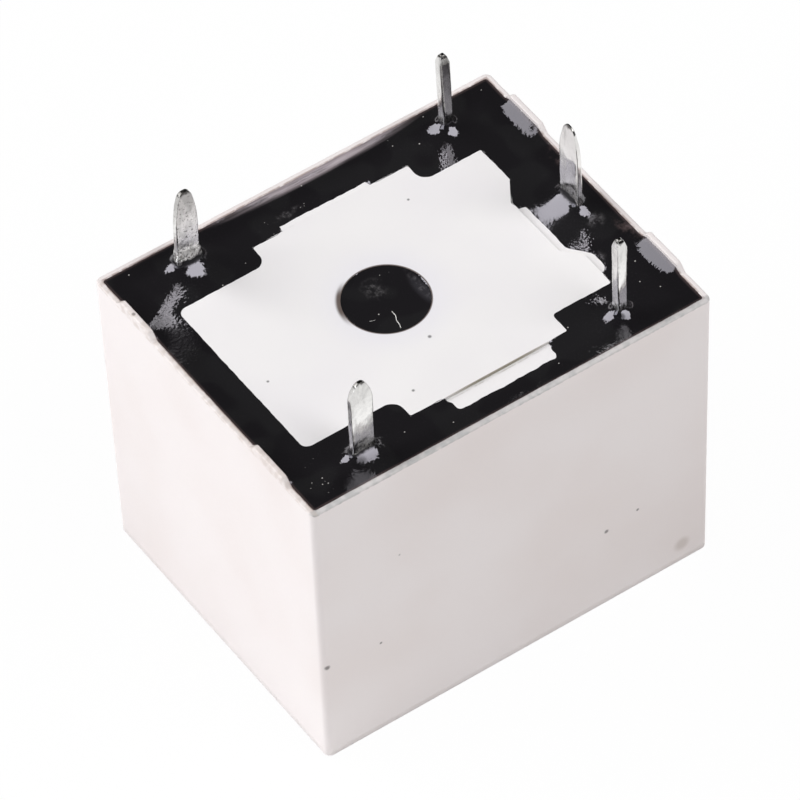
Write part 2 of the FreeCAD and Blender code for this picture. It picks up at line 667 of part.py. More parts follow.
def flange(with_ears):
    """Outline of a bobbin flange. The upper one reaches round the yoke to hold the coil pins."""
    left = "core_x - flange_left"
    right = "yoke_inner_x - yoke_clearance"
    near, far = "core_y - flange_half_width", "core_y + flange_half_width"
    if not with_ears:
        return rectangle(left, right, near, far, "flange_corner")
    outer_x = "coil_row_x + ear_margin"
    ear_x = f"{outer_x} - ear_length"
    near_inner = "core_y - yoke_width / 2 - yoke_clearance"
    far_inner = "core_y + yoke_width / 2 + yoke_clearance"
    near_outer, far_outer = "near_pin_y - ear_margin", "far_pin_y + ear_margin"
    return [(left, near, "flange_corner"), (ear_x, near), (ear_x, near_outer),
            (outer_x, near_outer), (outer_x, near_inner), (right, near_inner),
            (right, far_inner), (outer_x, far_inner), (outer_x, far_outer),
            (ear_x, far_outer), (ear_x, far), (left, far, "flange_corner")]


def make_bobbin():
    """The moulded spool of the coil, with an ear round each coil pin."""
    bobbin = new_body("bobbin")
    pad(bobbin, "flange_thickness", flange(False), height="bobbin_low")
    spool = new_sketch(bobbin, "XY", "bobbin_low")
    add_circle(spool, "core_x", "core_y", "core_radius + bobbin_clearance + spool_wall")
    tube = bobbin.newObject("PartDesign::Pad", "bobbin_tube")
    finish_profile(tube, spool, "yoke_underside - bobbin_low", None, False, False)
    pad(bobbin, "flange_thickness", flange(True), height="ear_underside")
    drill(bobbin, "core_x", "core_y", "core_radius + bobbin_clearance")
    for y in ("far_pin_y", "near_pin_y"):
        pocket(bobbin, "flange_thickness",
               rectangle("coil_row_x - coil_pin_side / 2", "coil_row_x + coil_pin_side / 2",
                         f"{y} - coil_pin_side / 2", f"{y} + coil_pin_side / 2"),
               height="yoke_underside")
    return bobbin


def make_winding():
    """The copper winding, with each end of its wire led to a coil pin and wrapped round it."""
    low = "bobbin_low + flange_thickness + bobbin_clearance"
    high = "ear_underside - bobbin_clearance"
    outer = primitive("Part::Cylinder", "winding_outer", Radius="winding_radius",
                      Height=f"{high} - ({low})")
    inner = primitive("Part::Cylinder", "winding_inner", Height=f"{high} - ({low})",
                      Radius="core_radius + spool_wall + 2 * bobbin_clearance")
    for cylinder in (outer, inner):
        shift(cylinder, "core_x", "core_y", low)
    tube = boolean("Part::Cut", "winding_tube", outer, inner)
    ends = []
    wrap_inner = "coil_pin_side / 2 * sqrt(2) + wrap_slack"
    wrap_outer = f"{wrap_inner} + 2 * wire_radius"
    wrap_low = "ear_underside - (coil_pin_tail + wrap_height) / 2"
    lead_height = f"{wrap_low} + wrap_height / 2"
    for name, y, side in (("far", "far_pin_y", 1), ("near", "near_pin_y", -1)):
        start_x = "core_x + (winding_radius - wire_radius) * cos(wire_start_angle)"
        start_y = f"core_y + {side} * (winding_radius - wire_radius) * sin(wire_start_angle)"
        end_x = f"coil_row_x - ({wrap_inner} + wire_radius)"
        run_x, run_y = f"{end_x} - ({start_x})", f"{y} - ({start_y})"
        lead = primitive("Part::Cylinder", f"lead_{name}", Radius="wire_radius",
                         Height=f"sqrt(({run_x}) ^ 2 + ({run_y}) ^ 2)")
        lead.Placement.Rotation = FreeCAD.Rotation(
            FreeCAD.Vector(0, 0, 1), FreeCAD.Vector(value(run_x), value(run_y), 0))
        shift(lead, start_x, start_y, lead_height)
        wrap = primitive("Part::Cylinder", f"wrap_{name}", Radius=wrap_outer, Height="wrap_height")
        hollow = primitive("Part::Cylinder", f"wrap_hole_{name}", Radius=wrap_inner,
                           Height="wrap_height")
        for cylinder in (wrap, hollow):
            shift(cylinder, "coil_row_x", y, wrap_low)
        turns = boolean("Part::Cut", f"wrap_turns_{name}", wrap, hollow)
        ends += [lead, turns]
    return boolean("Part::MultiFuse", "coil_winding", tube, ends)


def make_coil_pin(label, y):
    """A square pin, held in the bobbin's ear, with a pointed end."""
    pin = new_body(label)
    half = "coil_pin_side / 2"
    section = rectangle(f"coil_row_x - {half}", f"coil_row_x + {half}",
                        f"{y} - {half}", f"{y} + {half}")
    low = "ear_underside - coil_pin_tail"
    pad(pin, f"pin_tip - coil_tip - ({low})", section, height=low)
    pad(pin, "coil_tip", section, height="pin_tip - coil_tip",
        taper="-coil_tip_slope")
    return pin


# Contacts and terminals

def blade_waste(middle, width, low, reach):
    """What is cut from a wide sheet to leave a flat pin with a tapered, rounded end."""
    edge, point = f"({width} / 2)", "(blade_tip_width / 2)"
    taper_start, past = "pin_tip - blade_tip", "pin_tip + blade_tip"
    return [
        (f"{middle} - {reach}", low),
        (f"{middle} - {edge}", low, "sheet_bend"),
        (f"{middle} - {edge}", taper_start, "blade_tip_bow"),
        (f"{middle} - {point}", "pin_tip", "blade_tip_corner"),
        (f"{middle} + {point}", "pin_tip", "blade_tip_corner"),
        (f"{middle} + {edge}", taper_start, "blade_tip_bow"),
        (f"{middle} + {edge}", low, "sheet_bend"),
        (f"{middle} + {reach}", low),
        (f"{middle} + {reach}", past),
        (f"{middle} - {reach}", past),
    ]


def make_contact_terminal(label, pin_y, sheet_low, side):
    """A bent strip: a flat pin, an upright by the side wall, and a finger to its contact."""
    terminal = new_body(label)
    inner_y = f"{pin_y} - {side} * strip_thickness / 2"
    outer_y = f"{pin_y} + {side} * strip_thickness / 2"
    end_y = f"core_y - {side} * finger_end"
    outer_bend = "sheet_bend + strip_thickness"
    left = "contact_x - finger_margin"
    right = "contact_row_x + contact_pin_width / 2"
    profile = [(end_y, sheet_low),
               (outer_y, sheet_low, outer_bend),
               (outer_y, "pin_tip"),
               (inner_y, "pin_tip"),
               (inner_y, f"{sheet_low} + strip_thickness", "sheet_bend"),
               (end_y, f"{sheet_low} + strip_thickness")]
    if side < 0:
        profile.reverse()
    pad(terminal, f"{right} - ({left})", profile, plane="YZ", height=left)
    waste = blade_waste("contact_row_x", "contact_pin_width", "shoulder_top",
                        "(finger_margin + contact_row_x - contact_x + contact_pin_width)")
    pocket(terminal, FAR, waste, plane="XZ", both=True)
    cut_x = "contact_x + head_radius + shank_radius / 2"
    corner_y = f"core_y - {side} * (finger_end + {PAST})"
    back_y = f"{pin_y} - {side} * (strip_thickness + sheet_bend + head_radius)"
    trim = [(cut_x, corner_y), ("contact_row_x + contact_pin_width", corner_y),
            ("contact_row_x + contact_pin_width", back_y), (cut_x, back_y, "head_radius")]
    if side < 0:
        trim.reverse()
    pocket(terminal, FAR, trim, both=True)
    drill(terminal, "contact_x", "core_y", "shank_radius")
    return terminal


def make_common_terminal():
    """The strip on the yoke's outer face. It steps out to the row of the common pin."""
    common = new_body("terminal_common")
    outer_bend = "sheet_bend + strip_thickness"
    face, back = "common_face_x", "common_face_x + strip_thickness"
    pin_inner, pin_outer = "common_x - strip_thickness / 2", "common_x + strip_thickness / 2"
    pad(common, "common_width",
        [(face, "common_foot"),
         (back, "common_foot"),
         (back, "common_jog - strip_thickness", "sheet_bend"),
         (pin_outer, "common_jog - strip_thickness", outer_bend),
         (pin_outer, "pin_tip"),
         (pin_inner, "pin_tip"),
         (pin_inner, "common_jog", "sheet_bend"),
         (face, "common_jog", outer_bend)],
        plane="XZ", height="-core_y", both=True)
    waste = blade_waste("common_pin_y", "common_pin_width", "common_jog - 2 * strip_thickness",
                        "common_width")
    pocket(common, "common_step + strip_thickness", waste, plane="YZ",
           height="common_x - strip_thickness - sheet_bend", down=False)
    for side in (-1, 1):
        drill(common, f"core_y + {side} * yoke_rivet_spacing / 2", "yoke_rivet_height",
              "shank_radius", plane="YZ")
    return common


def make_rivet(label, head_radius, head, grip, end_radius, end):
    """A turned rivet on its own Z axis, its head below zero and its grip above."""
    rivet = new_body(label)
    corners = [("0", f"-({head})"),
               (f"{head_radius} - head_bevel", f"-({head})"),
               (head_radius, "0"),
               ("shank_radius", "0"),
               ("shank_radius", grip)]
    if end_radius:
        corners += [(end_radius, grip),
                    (f"{end_radius} - head_bevel", f"{grip} + {end}"),
                    ("0", f"{grip} + {end}")]
    else:
        corners.append(("0", grip))
    revolve(rivet, corners)
    return rivet


def make_contacts():
    """The two fixed contacts and the double-faced moving one, each riveted to its sheet."""
    rest = make_rivet("contact_nc", "head_radius", "head_height", "strip_thickness",
                      "stake_radius", "stake_height")
    rest.Placement.Rotation = FreeCAD.Rotation(FreeCAD.Vector(1, 0, 0), 180)
    shift(rest, "contact_x", "core_y", "low_sheet + strip_thickness")
    work = make_rivet("contact_no", "head_radius", "head_height", "strip_thickness",
                      "stake_radius", "stake_height")
    shift(work, "contact_x", "core_y", "high_sheet")
    moving = make_rivet("moving_contact", "moving_radius", "moving_low", "leaf_thickness",
                        "moving_radius", "moving_high")
    swing_open(moving, "-contact_reach", "core_y", "-leaf_low")


# Armature

def make_armature():
    """The iron plate that the coil pulls, drawn about its pivot in the closed position."""
    armature = new_body("armature")
    heel = "armature_heel"
    pad(armature, "armature_width",
        [("-armature_length", "-armature_thickness"),
         (f"-{heel}", "-armature_thickness"),
         ("-leaf_gap", f"-armature_thickness + {heel}"),
         ("-leaf_gap", "0"),
         ("-armature_length", "0")],
        plane="XZ", height="-core_y", both=True)
    front, shoulder = "-armature_length", "-armature_length + armature_taper"
    for side in (-1, 1):
        nose = f"core_y + {side} * armature_nose / 2"
        flank = f"core_y + {side} * armature_width / 2"
        beyond = f"{flank} + {side} * {PAST}"
        corner = [(f"{front} - {PAST}", nose), (front, nose), (shoulder, flank),
                  (shoulder, beyond), (f"{front} - {PAST}", beyond)]
        pocket(armature, FAR, corner, both=True)
        drill(armature, "-armature_rivet_x", f"core_y + {side} * armature_rivet_spacing / 2",
              "shank_radius")
    swing_open(armature)
    return armature


def make_contact_spring():
    """The bent leaf that hinges the armature and carries the moving contact, as it lies at rest."""
    leaf = new_body("contact_spring")
    sine, cosine = "sin(open_angle)", "cos(open_angle)"

    def along(distance, drop):
        """A point of the tilted leaf, from its distance before the pivot and its drop below."""
        return (f"yoke_face_x - ({distance}) * {cosine} + ({drop}) * {sine}",
                f"hinge_height - ({distance}) * {sine} - ({drop}) * {cosine}")

    def below_face(x, drop):
        """Height at which the tilted leaf's face passes an upright line."""
        run = f"({x} - yoke_face_x - ({drop}) * {sine})"
        return f"hinge_height + {run} * tan(open_angle) - ({drop}) * {cosine}"

    tip = "contact_reach + leaf_end"
    top = "hinge_height + leaf_upright"
    pad(leaf, "leaf_width",
        [along(tip, "leaf_low"),
         ("common_face_x", below_face("common_face_x", "leaf_low"), "leaf_bend + leaf_thickness"),
         ("common_face_x", top),
         ("leaf_face_x", top),
         ("leaf_face_x", below_face("leaf_face_x", "armature_thickness"), "leaf_bend"),
         along(tip, "armature_thickness")],
        plane="XZ", height="-core_y", both=True)
    far_x = f"contact_x - leaf_end - {PAST}"
    for side in (-1, 1):
        nose = f"core_y + {side} * leaf_nose / 2"
        flank = f"core_y + {side} * leaf_width / 2"
        beyond = f"{flank} + {side} * {PAST}"
        waste = [(far_x, nose), ("contact_x + leaf_nose", nose, "leaf_nose"),
                 ("yoke_face_x - armature_length + armature_taper", flank, "leaf_nose / 2"),
                 ("yoke_face_x - armature_length + armature_taper", beyond),
                 (far_x, beyond)]
        pocket(leaf, FAR, waste, both=True)
        drill(leaf, f"core_y + {side} * yoke_rivet_spacing / 2", "yoke_rivet_height",
              "shank_radius", plane="YZ")
        drill(leaf, along("armature_rivet_x", "leaf_low")[0],
              f"core_y + {side} * armature_rivet_spacing / 2", "shank_radius + leaf_gap")
    drill(leaf, along("contact_reach", "leaf_low")[0], "core_y", "shank_radius + leaf_gap")
    return leaf


def make_rivets():
    """Two rivets through the yoke, the leaf and the common terminal, and two in the armature."""
    grip = "leaf_gap + leaf_thickness + strip_thickness + yoke_thickness"
    for name, side in (("a", 1), ("b", -1)):
        through_yoke = make_rivet(f"yoke_rivet_{name}", "rivet_head_radius", "rivet_head", grip,
                                  None, None)
        through_yoke.Placement.Rotation = FreeCAD.Rotation(FreeCAD.Vector(0, 1, 0), -90)
        shift(through_yoke, "common_face_x + strip_thickness",
              f"core_y + {side} * yoke_rivet_spacing / 2", "yoke_rivet_height")
        in_armature = make_rivet(f"armature_rivet_{name}", "rivet_head_radius", "rivet_head",
                                 "leaf_low - yoke_gap", None, None)
        swing_open(in_armature, "-armature_rivet_x",
                   f"core_y + {side} * armature_rivet_spacing / 2", "-leaf_low")


# Assembly

def build():
    """Make every piece. Returns the labels of the finished ones."""
    make_cover()
    base = make_base()
    pins = [make_contact_terminal("terminal_no", "far_pin_y", "high_sheet", 1),
            make_contact_terminal("terminal_nc", "near_pin_y", "low_sheet", -1),
            make_common_terminal(),
            make_coil_pin("coil_pin_a", "far_pin_y"),
            make_coil_pin("coil_pin_b", "near_pin_y")]
    make_sealant_ring(base, pins)
    make_sealant_plug()
    make_core()
    make_yoke()
    make_bobbin()
    make_winding()
    make_contacts()
    make_armature()
    make_contact_spring()
    make_rivets()
    doc.recompute()


PIECES = [
    "cover", "base", "sealant_ring", "sealant_plug",
    "core", "yoke", "bobbin", "coil_winding", "coil_pin_a", "coil_pin_b",
    "terminal_no", "terminal_nc", "terminal_common",
    "contact_no", "contact_nc", "moving_contact",
    "armature", "contact_spring",
    "yoke_rivet_a", "yoke_rivet_b", "armature_rivet_a", "armature_rivet_b",
]


def check():
    """Stop if any object failed, or if a piece isn't one sound solid."""
    for thing in doc.Objects:
        if "Invalid" in thing.State or "Error" in thing.State:
            raise RuntimeError(f"{thing.Label} failed to build: {thing.State}")
    for label in PIECES:
        shape = doc.getObjectsByLabel(label)[0].Shape
        if shape.isNull() or not shape.isValid() or len(shape.Solids) != 1:
            raise RuntimeError(f"{label} isn't one valid solid")


def write():
    """Write each piece to its own file."""
    os.makedirs("parts", exist_ok=True)
    for label in PIECES:
        doc.getObjectsByLabel(label)[0].Shape.exportStep(f"parts/{label}.step")


build()
check()
write()
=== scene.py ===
"""The looks of a miniature power relay, dressed round its packed parts.

The relay lies on the closed top of its cover, with its five pins up. The white cover and base, the
glossy sealant between them and the tinned pins show. The coil and the contacts are sealed inside.
The file is laid out as an add-on: each piece has an operator, and a panel in the sidebar lists them.
Lengths are in millimetres, but in the sidebar's values and in the meshes they are in metres.
"""

import math
from functools import partialmethod

import bmesh
import bpy
import numpy as np
from bpy.props import FloatProperty, FloatVectorProperty, PointerProperty
from mathutils import Matrix, Vector, noise
from mathutils.geometry import delaunay_2d_cdt


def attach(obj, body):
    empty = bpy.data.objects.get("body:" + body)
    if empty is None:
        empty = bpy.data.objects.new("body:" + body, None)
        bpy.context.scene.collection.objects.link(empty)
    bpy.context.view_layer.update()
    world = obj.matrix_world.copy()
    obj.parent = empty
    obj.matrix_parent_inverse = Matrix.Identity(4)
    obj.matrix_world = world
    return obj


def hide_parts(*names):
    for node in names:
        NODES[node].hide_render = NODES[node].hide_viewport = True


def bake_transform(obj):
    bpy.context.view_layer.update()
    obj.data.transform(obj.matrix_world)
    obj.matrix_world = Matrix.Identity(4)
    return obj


bl_info = {
    "name": "Miniature power relay",
    "version": (1, 0, 0),
    "blender": (4, 5, 0),
    "location": "View3D > Sidebar > Relay",
    "description": "Dresses the parts of a sealed miniature power relay",
    "category": "Object",
}

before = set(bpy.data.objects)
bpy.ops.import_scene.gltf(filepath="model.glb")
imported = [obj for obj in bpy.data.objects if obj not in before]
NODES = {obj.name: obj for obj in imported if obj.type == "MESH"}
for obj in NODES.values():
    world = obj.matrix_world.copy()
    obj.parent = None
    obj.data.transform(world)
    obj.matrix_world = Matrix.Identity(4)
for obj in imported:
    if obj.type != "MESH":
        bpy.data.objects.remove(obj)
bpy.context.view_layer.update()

MM = 0.001              # a millimetre, in the scene's metres
SAME = 0.001            # two places closer than this, in millimetres, are the same
TINY = 1e-9
STILL = "relay_frame"


# Measures of the packed parts

def corners_of(node):
    """Every corner of a packed part's mesh."""
    mesh = NODES[node].data
    flat = np.empty(len(mesh.vertices) * 3)
    mesh.vertices.foreach_get("co", flat)
    return flat.reshape(-1, 3) / MM


def box_of(node, above=-math.inf):
    """Lowest and highest corner of the part, or of what reaches above a height."""
    corners = corners_of(node)
    corners = corners[corners[:, 2] > above]
    return corners.min(0), corners.max(0)


def level_outlines(node, height):
    """Closed outlines of the part's flat, upward faces at one height."""
    keys = [tuple(corner) for corner in np.round(corners_of(node), 3)]
    follow = {}
    for face in NODES[node].data.polygons:
        corners = [keys[i] for i in face.vertices]
        if face.normal.z < 0.5 or any(abs(corner[2] - height) > 2 * SAME for corner in corners):
            continue
        for start, end in zip(corners, corners[1:] + corners[:1]):
            if start in follow.get(end, ()):
                follow[end].remove(start)
            else:
                follow.setdefault(start, []).append(end)
    outlines = []
    while any(follow.values()):
        start = next(point for point, ends in follow.items() if ends)
        outline = [start]
        while follow.get(outline[-1]):
            outline.append(follow[outline[-1]].pop())
        outlines.append(np.array(outline[:-1])[:, :2])
    return sorted(outlines, key=lambda outline: -len(outline))


CASE = box_of("cover")[1]                     # half length, half width, tabs' height
TAB_HEIGHT = 0.35
TAB_MIDDLES = (4.7, -4.5)
TAB_REACH = 1.3                               # from a tab's middle to its ends, at its foot
RIM = CASE[2] - TAB_HEIGHT
RIM_WALL = 0.25
INNER_HALF = CASE[:2] - RIM_WALL              # half length and half width inside the rim
CHANNEL_FLOOR = box_of("sealant_ring")[0][2]
PLATEAU_TOP = box_of("base")[1][2]
LEDGE_TOP = PLATEAU_TOP - 0.12
PIN_TIP = box_of("coil_pin_a")[1][2]
ABOVE = 16.0                                  # above everything but the pins
# How far the pins stand beside their drawn places, at the sealant and at their tips
FOOT_SHIFT = {"terminal_no": (0.15, 0.0), "terminal_nc": (0.08, -0.1), "terminal_common": (-0.03, 0.0),
              "coil_pin_a": (0.3, 0.06), "coil_pin_b": (0.05, -0.03)}
TIP_SHIFT = {"terminal_no": (0.19, 0.0), "terminal_nc": (0.08, -0.1), "terminal_common": (-0.04, 0.0),
             "coil_pin_a": (0.22, 0.04), "coil_pin_b": (0.07, -0.03)}


def foot_of(pin):
    """Middle and half sides of a pin where it leaves the sealant."""
    low, high = box_of(pin, above=ABOVE)
    return (low + high)[:2] / 2 + np.array(FOOT_SHIFT[pin]), (high - low)[:2] / 2


# Points and outlines

def at_height(flat, height=0.0):
    """Flat points, given one height or a height each."""
    return np.column_stack([flat, np.full(len(flat), height)])


def circle(radius, height, turns):
    """Points round a level circle."""
    angles = np.arange(turns) / turns * 2 * math.pi
    return at_height(radius * np.column_stack([np.cos(angles), np.sin(angles)]), height)


def rounded_rectangle(half_x, half_y, radius, steps):
    """Points round a rectangle with round corners, the other way from a clock's hands."""
    points = []
    for corner, (side_x, side_y) in enumerate(((1, 1), (-1, 1), (-1, -1), (1, -1))):
        for step in range(steps + 1):
            angle = math.pi / 2 * (corner + step / steps)
            points.append((side_x * (half_x - radius) + radius * math.cos(angle),
                           side_y * (half_y - radius) + radius * math.sin(angle)))
    return np.array(points)


def section(half_x, half_y, radius, across, steps=4):
    """Points round such a rectangle, with equally many more along each straight side."""
    corners = rounded_rectangle(half_x, half_y, radius, steps).reshape(4, steps + 1, 2)
    points = []
    for corner, following in zip(corners, np.roll(corners, -1, axis=0)):
        points += list(corner)
        points += [corner[-1] + (following[0] - corner[-1]) * i / (across + 1)
                   for i in range(1, across + 1)]
    return np.array(points)


def spaced(outline, spacing):
    """The outline with points added along its longer edges."""
    points = []
    for start, end in zip(outline, np.roll(outline, -1, axis=0)):
        count = max(1, math.ceil(np.linalg.norm(end - start) / spacing))
        points += [start + (end - start) * i / count for i in range(count)]
    return np.array(points)


def sideways(outline):
    """The unit direction to the left of the outline's run, at each of its points."""
    ends = np.roll(outline, -1, axis=0) - np.roll(outline, 1, axis=0)
    normal = np.column_stack([-ends[:, 1], ends[:, 0]])
    return normal / np.maximum(np.linalg.norm(normal, axis=1), TINY)[:, None]


def inside(points, outline):
    """Which points lie inside a closed outline."""
    x, y = points[:, 0], points[:, 1]
    found = np.zeros(len(points), bool)
    for (x0, y0), (x1, y1) in zip(outline, np.roll(outline, -1, axis=0)):
        crosses = (y0 > y) != (y1 > y)
        rise = y1 - y0 if y1 != y0 else 1
        found ^= crosses & (x < (x1 - x0) * (y - y0) / rise + x0)
    return found


def distance_to(points, outline):
    """Distance of each point from an outline's line."""
    nearest = np.full(len(points), math.inf)
    for start, end in zip(outline, np.roll(outline, -1, axis=0)):
        along = end - start
        share = np.clip((points - start) @ along / max(along @ along, TINY * SAME), 0, 1)
        nearest = np.minimum(nearest, np.linalg.norm(points - start - share[:, None] * along, axis=1))
    return nearest


def smooth_step(low, high, value):
    """From 0 to 1, softly, as a value goes from low to high."""
    share = np.clip((value - low) / (high - low), 0, 1)
    return share * share * (3 - 2 * share)


def wander(points, scale, seed):
    """Soft noise between -1 and 1 at each point."""
    shift = Vector((seed * 7.3, seed * 3.1, seed * 5.7))
    return np.array([noise.noise(Vector(point) * scale + shift) for point in points])


def ragged_inwards(outline, least, most, seed, neighbours):
    """The outline drawn inwards by an uneven amount, but not where it meets its neighbours."""
    normal = sideways(outline)
    if inside(outline + 0.01 * normal, outline).mean() <= 0.5:
        normal = -normal
    along = at_height(outline)
    uneven = 0.5 + 0.35 * wander(along, 0.9, seed) + 0.35 * wander(along, 4.0, seed + 1)
    amount = least + (most - least) * np.clip(uneven, 0, 1)
    apart = np.min([distance_to(outline, neighbour) for neighbour in neighbours], axis=0)
    return outline + normal * (amount * smooth_step(0.1, 0.3, apart))[:, None]


def tab_rise(along):
    """Height of the standoff tabs above the rim, at places along Y, with softened corners."""
    total = np.zeros(len(along))
    offsets = np.linspace(-0.04, 0.04, 5)
    for middle in TAB_MIDDLES:
        for offset in offsets:
            total += np.clip(TAB_REACH - abs(along + offset - middle), 0, TAB_HEIGHT) / len(offsets)
    return total


def lattice(low, high, spacing):
    """Points of a triangular lattice over a rectangle."""
    rows = []
    for i, y in enumerate(np.arange(low[1], high[1], spacing * math.sqrt(3) / 2)):
        along = np.arange(low[0] + (i % 2) * spacing / 2, high[0], spacing)
        rows.append(np.column_stack([along, np.full(len(along), y)]))
    return np.concatenate(rows)


# Meshes and objects

def coat(mesh, material):
    """Give the whole mesh one material."""
    mesh.materials.clear()
    mesh.materials.append(material)
    for face in mesh.polygons:
        face.material_index = 0


def add_piece(name, mesh, material):
    """An object that shows the mesh, in one material."""
    coat(mesh, material)
    piece = bpy.data.objects.new(name, mesh)
    bpy.context.scene.collection.objects.link(piece)
    return piece


def new_piece(name, points, faces, material, sharp=None):
    """A smooth object from points. Edges with a sharper turn than sharp, in degrees, stay sharp."""
    mesh = bpy.data.meshes.new(name)
    mesh.from_pydata([tuple(point) for point in np.asarray(points) * MM], [], faces)
    mesh.validate()
    mesh.shade_smooth()
    if sharp:
        mesh.set_sharp_from_angle(angle=math.radians(sharp))
    return add_piece(name, mesh, material)


def shape_of(node):
    """A packed part's shape, with its faces joined at their corners."""
    shape = bmesh.new()
    shape.from_mesh(NODES[node].data)
    bmesh.ops.remove_doubles(shape, verts=shape.verts, dist=SAME * MM)
    return shape


def cut(shape, place, normal, clear_outer=False):
    """Cut the whole shape at a plane, and clear what lies beyond it if asked."""
    every = shape.verts[:] + shape.edges[:] + shape.faces[:]
    return bmesh.ops.bisect_plane(shape, geom=every, plane_co=tuple(place), plane_no=tuple(normal),
                                  clear_outer=clear_outer)["geom_cut"]


def write(shape, mesh, *dropped):
    """Write a shape into a mesh, without some of the attributes it has from the packed part."""
    shape.to_mesh(mesh)
    shape.free()
    for name in dropped:
        if name in mesh.attributes:
            mesh.attributes.remove(mesh.attributes[name])
    return mesh


def even_shading(piece):
    """Keep large faces flat where they meet rounded edges."""
    even = piece.modifiers.new("Even shading", "WEIGHTED_NORMAL")
    even.keep_sharp = True
    even.weight = 100


def recast(node, width, material):
    """A copy of a packed part with whole faces and rounded edges."""
    edge_angle = math.radians(40)
    whole = shape_of(node)
    bmesh.ops.dissolve_limit(whole, angle_limit=math.radians(0.5), verts=whole.verts,
                             edges=whole.edges)
    mesh = write(whole, bpy.data.meshes.new(node + "_finished"),
                 "custom_normal", "sharp_face", "sharp_edge")
    mesh.shade_smooth()
    mesh.set_sharp_from_angle(angle=edge_angle)
    piece = add_piece(node + "_finished", mesh, material)
    bevel = piece.modifiers.new("Rounded edges", "BEVEL")
    bevel.width = width * MM
    bevel.segments = 3
    bevel.limit_method = "ANGLE"
    bevel.angle_limit = edge_angle
    bevel.use_clamp_overlap = True
    even_shading(piece)
    return piece


def loft(rings):
    """Faces that join rings of equally many points, with one more over each end."""
    points = np.concatenate(rings)
    count = len(rings[0])
    faces = []
    for ring in range(len(rings) - 1):
        for i in range(count):
            a, b = ring * count + i, ring * count + (i + 1) % count
            faces.append((a, b, b + count, a + count))
    faces.append(tuple(reversed(range(count))))
    faces.append(tuple(range(len(points) - count, len(points))))
    return points, faces


def thickened(triangles, count):
    """Faces of a closed layer. The points of its underside follow the count points of its skin."""
    above = [tuple(face) for face in triangles.tolist()]
    below = [(c + count, b + count, a + count) for a, b, c in above]
    rim = {}
    for a, b, c in above:
        for start, end in ((a, b), (b, c), (c, a)):
            if (end, start) in rim:
                del rim[(end, start)]
            else:
                rim[(start, end)] = True
    return above + below + [(end, start, start + count, end + count) for start, end in rim]


# Shader nodes

class Shading:
    """The nodes of one tree. Every input takes a value or another node's output."""

    def __init__(self, tree):
        self.tree = tree

    def lead(self, given, socket):
        if isinstance(given, bpy.types.NodeSocket):
            self.tree.links.new(given, socket)
        else:
            socket.default_value = given

    def add(self, kind, inputs=None, **settings):
        """Add a node, and return its outputs."""
        made = self.tree.nodes.new("ShaderNode" + kind)
        for name, setting in settings.items():
            setattr(made, name, setting)
        for name, given in (inputs or {}).items():
            self.lead(given, made.inputs[name])
        return made.outputs

    def maths(self, operation, *values):
        return self.add("Math", dict(enumerate(values)), operation=operation)[0]

    def chain(self, operation, first, *others):
        """The same operation with one value after another."""
        for other in others:
            first = self.maths(operation, first, other)
        return first

    plus = partialmethod(chain, "ADD")
    minus = partialmethod(chain, "SUBTRACT")
    times = partialmethod(chain, "MULTIPLY")
    over = partialmethod(chain, "DIVIDE")
    most = partialmethod(chain, "MAXIMUM")
    least = partialmethod(chain, "MINIMUM")

    def vector(self, operation, *values):
        return self.add("VectorMath", dict(enumerate(values)), operation=operation)[0]

    def length(self, value):
        return self.add("VectorMath", {0: value}, operation="LENGTH")["Value"]

    def split(self, value):
        return self.add("SeparateXYZ", {0: value})

    def place(self):
        """Each point's place in the part's own frame, in millimetres."""
        place = self.add("TexCoord")["Object"]
        return self.add("VectorMath", {0: place, "Scale": 1 / MM}, operation="SCALE")[0]

    def ramp(self, value, low, high, first=0.0, second=1.0):
        """A smooth change from first to second as a value goes from low to high."""
        return self.add("MapRange", {0: value, 1: low, 2: high, 3: first, 4: second},
                        interpolation_type="SMOOTHSTEP")[0]

    def noise(self, scale, detail=2.0, at=None, **more):
        inputs = {"Vector": at or self.place(), "Scale": scale, "Detail": detail, **more}
        return self.add("TexNoise", inputs)[0]

    def effect(self, name, **inputs):
        """Place an effect's group, with its own values."""
        named = {socket.replace("_", " "): given for socket, given in inputs.items()}
        return self.add("Group", named, node_tree=bpy.data.node_groups[name])

    def mask(self, name, **inputs):
        return self.effect(name, **inputs)["Mask"]

    def mark(self, centre, size):
        return self.mask("Mark", Centre=centre, Size=size)

    def band(self, start, end, ragged=0.1):
        return self.mask("Height band", Start=start, End=end, Ragged=ragged)


class Effect(Shading):
    """A shader node group with named inputs and outputs."""

    def __init__(self, name, inputs, outputs=("Mask",)):
        super().__init__(bpy.data.node_groups.new(name, "ShaderNodeTree"))
        kinds = {float: "NodeSocketFloat", tuple: "NodeSocketVector"}
        sockets = self.tree.interface
        for socket, default in inputs.items():
            made = sockets.new_socket(socket, in_out="INPUT", socket_type=kinds[type(default)])
            made.default_value = default
        for socket in outputs:
            sockets.new_socket(socket, in_out="OUTPUT", socket_type="NodeSocketFloat")
        self.given = self.tree.nodes.new("NodeGroupInput").outputs
        self.results = self.tree.nodes.new("NodeGroupOutput").inputs

    def put(self, **results):
        for name, made in results.items():
            self.lead(made, self.results[name])


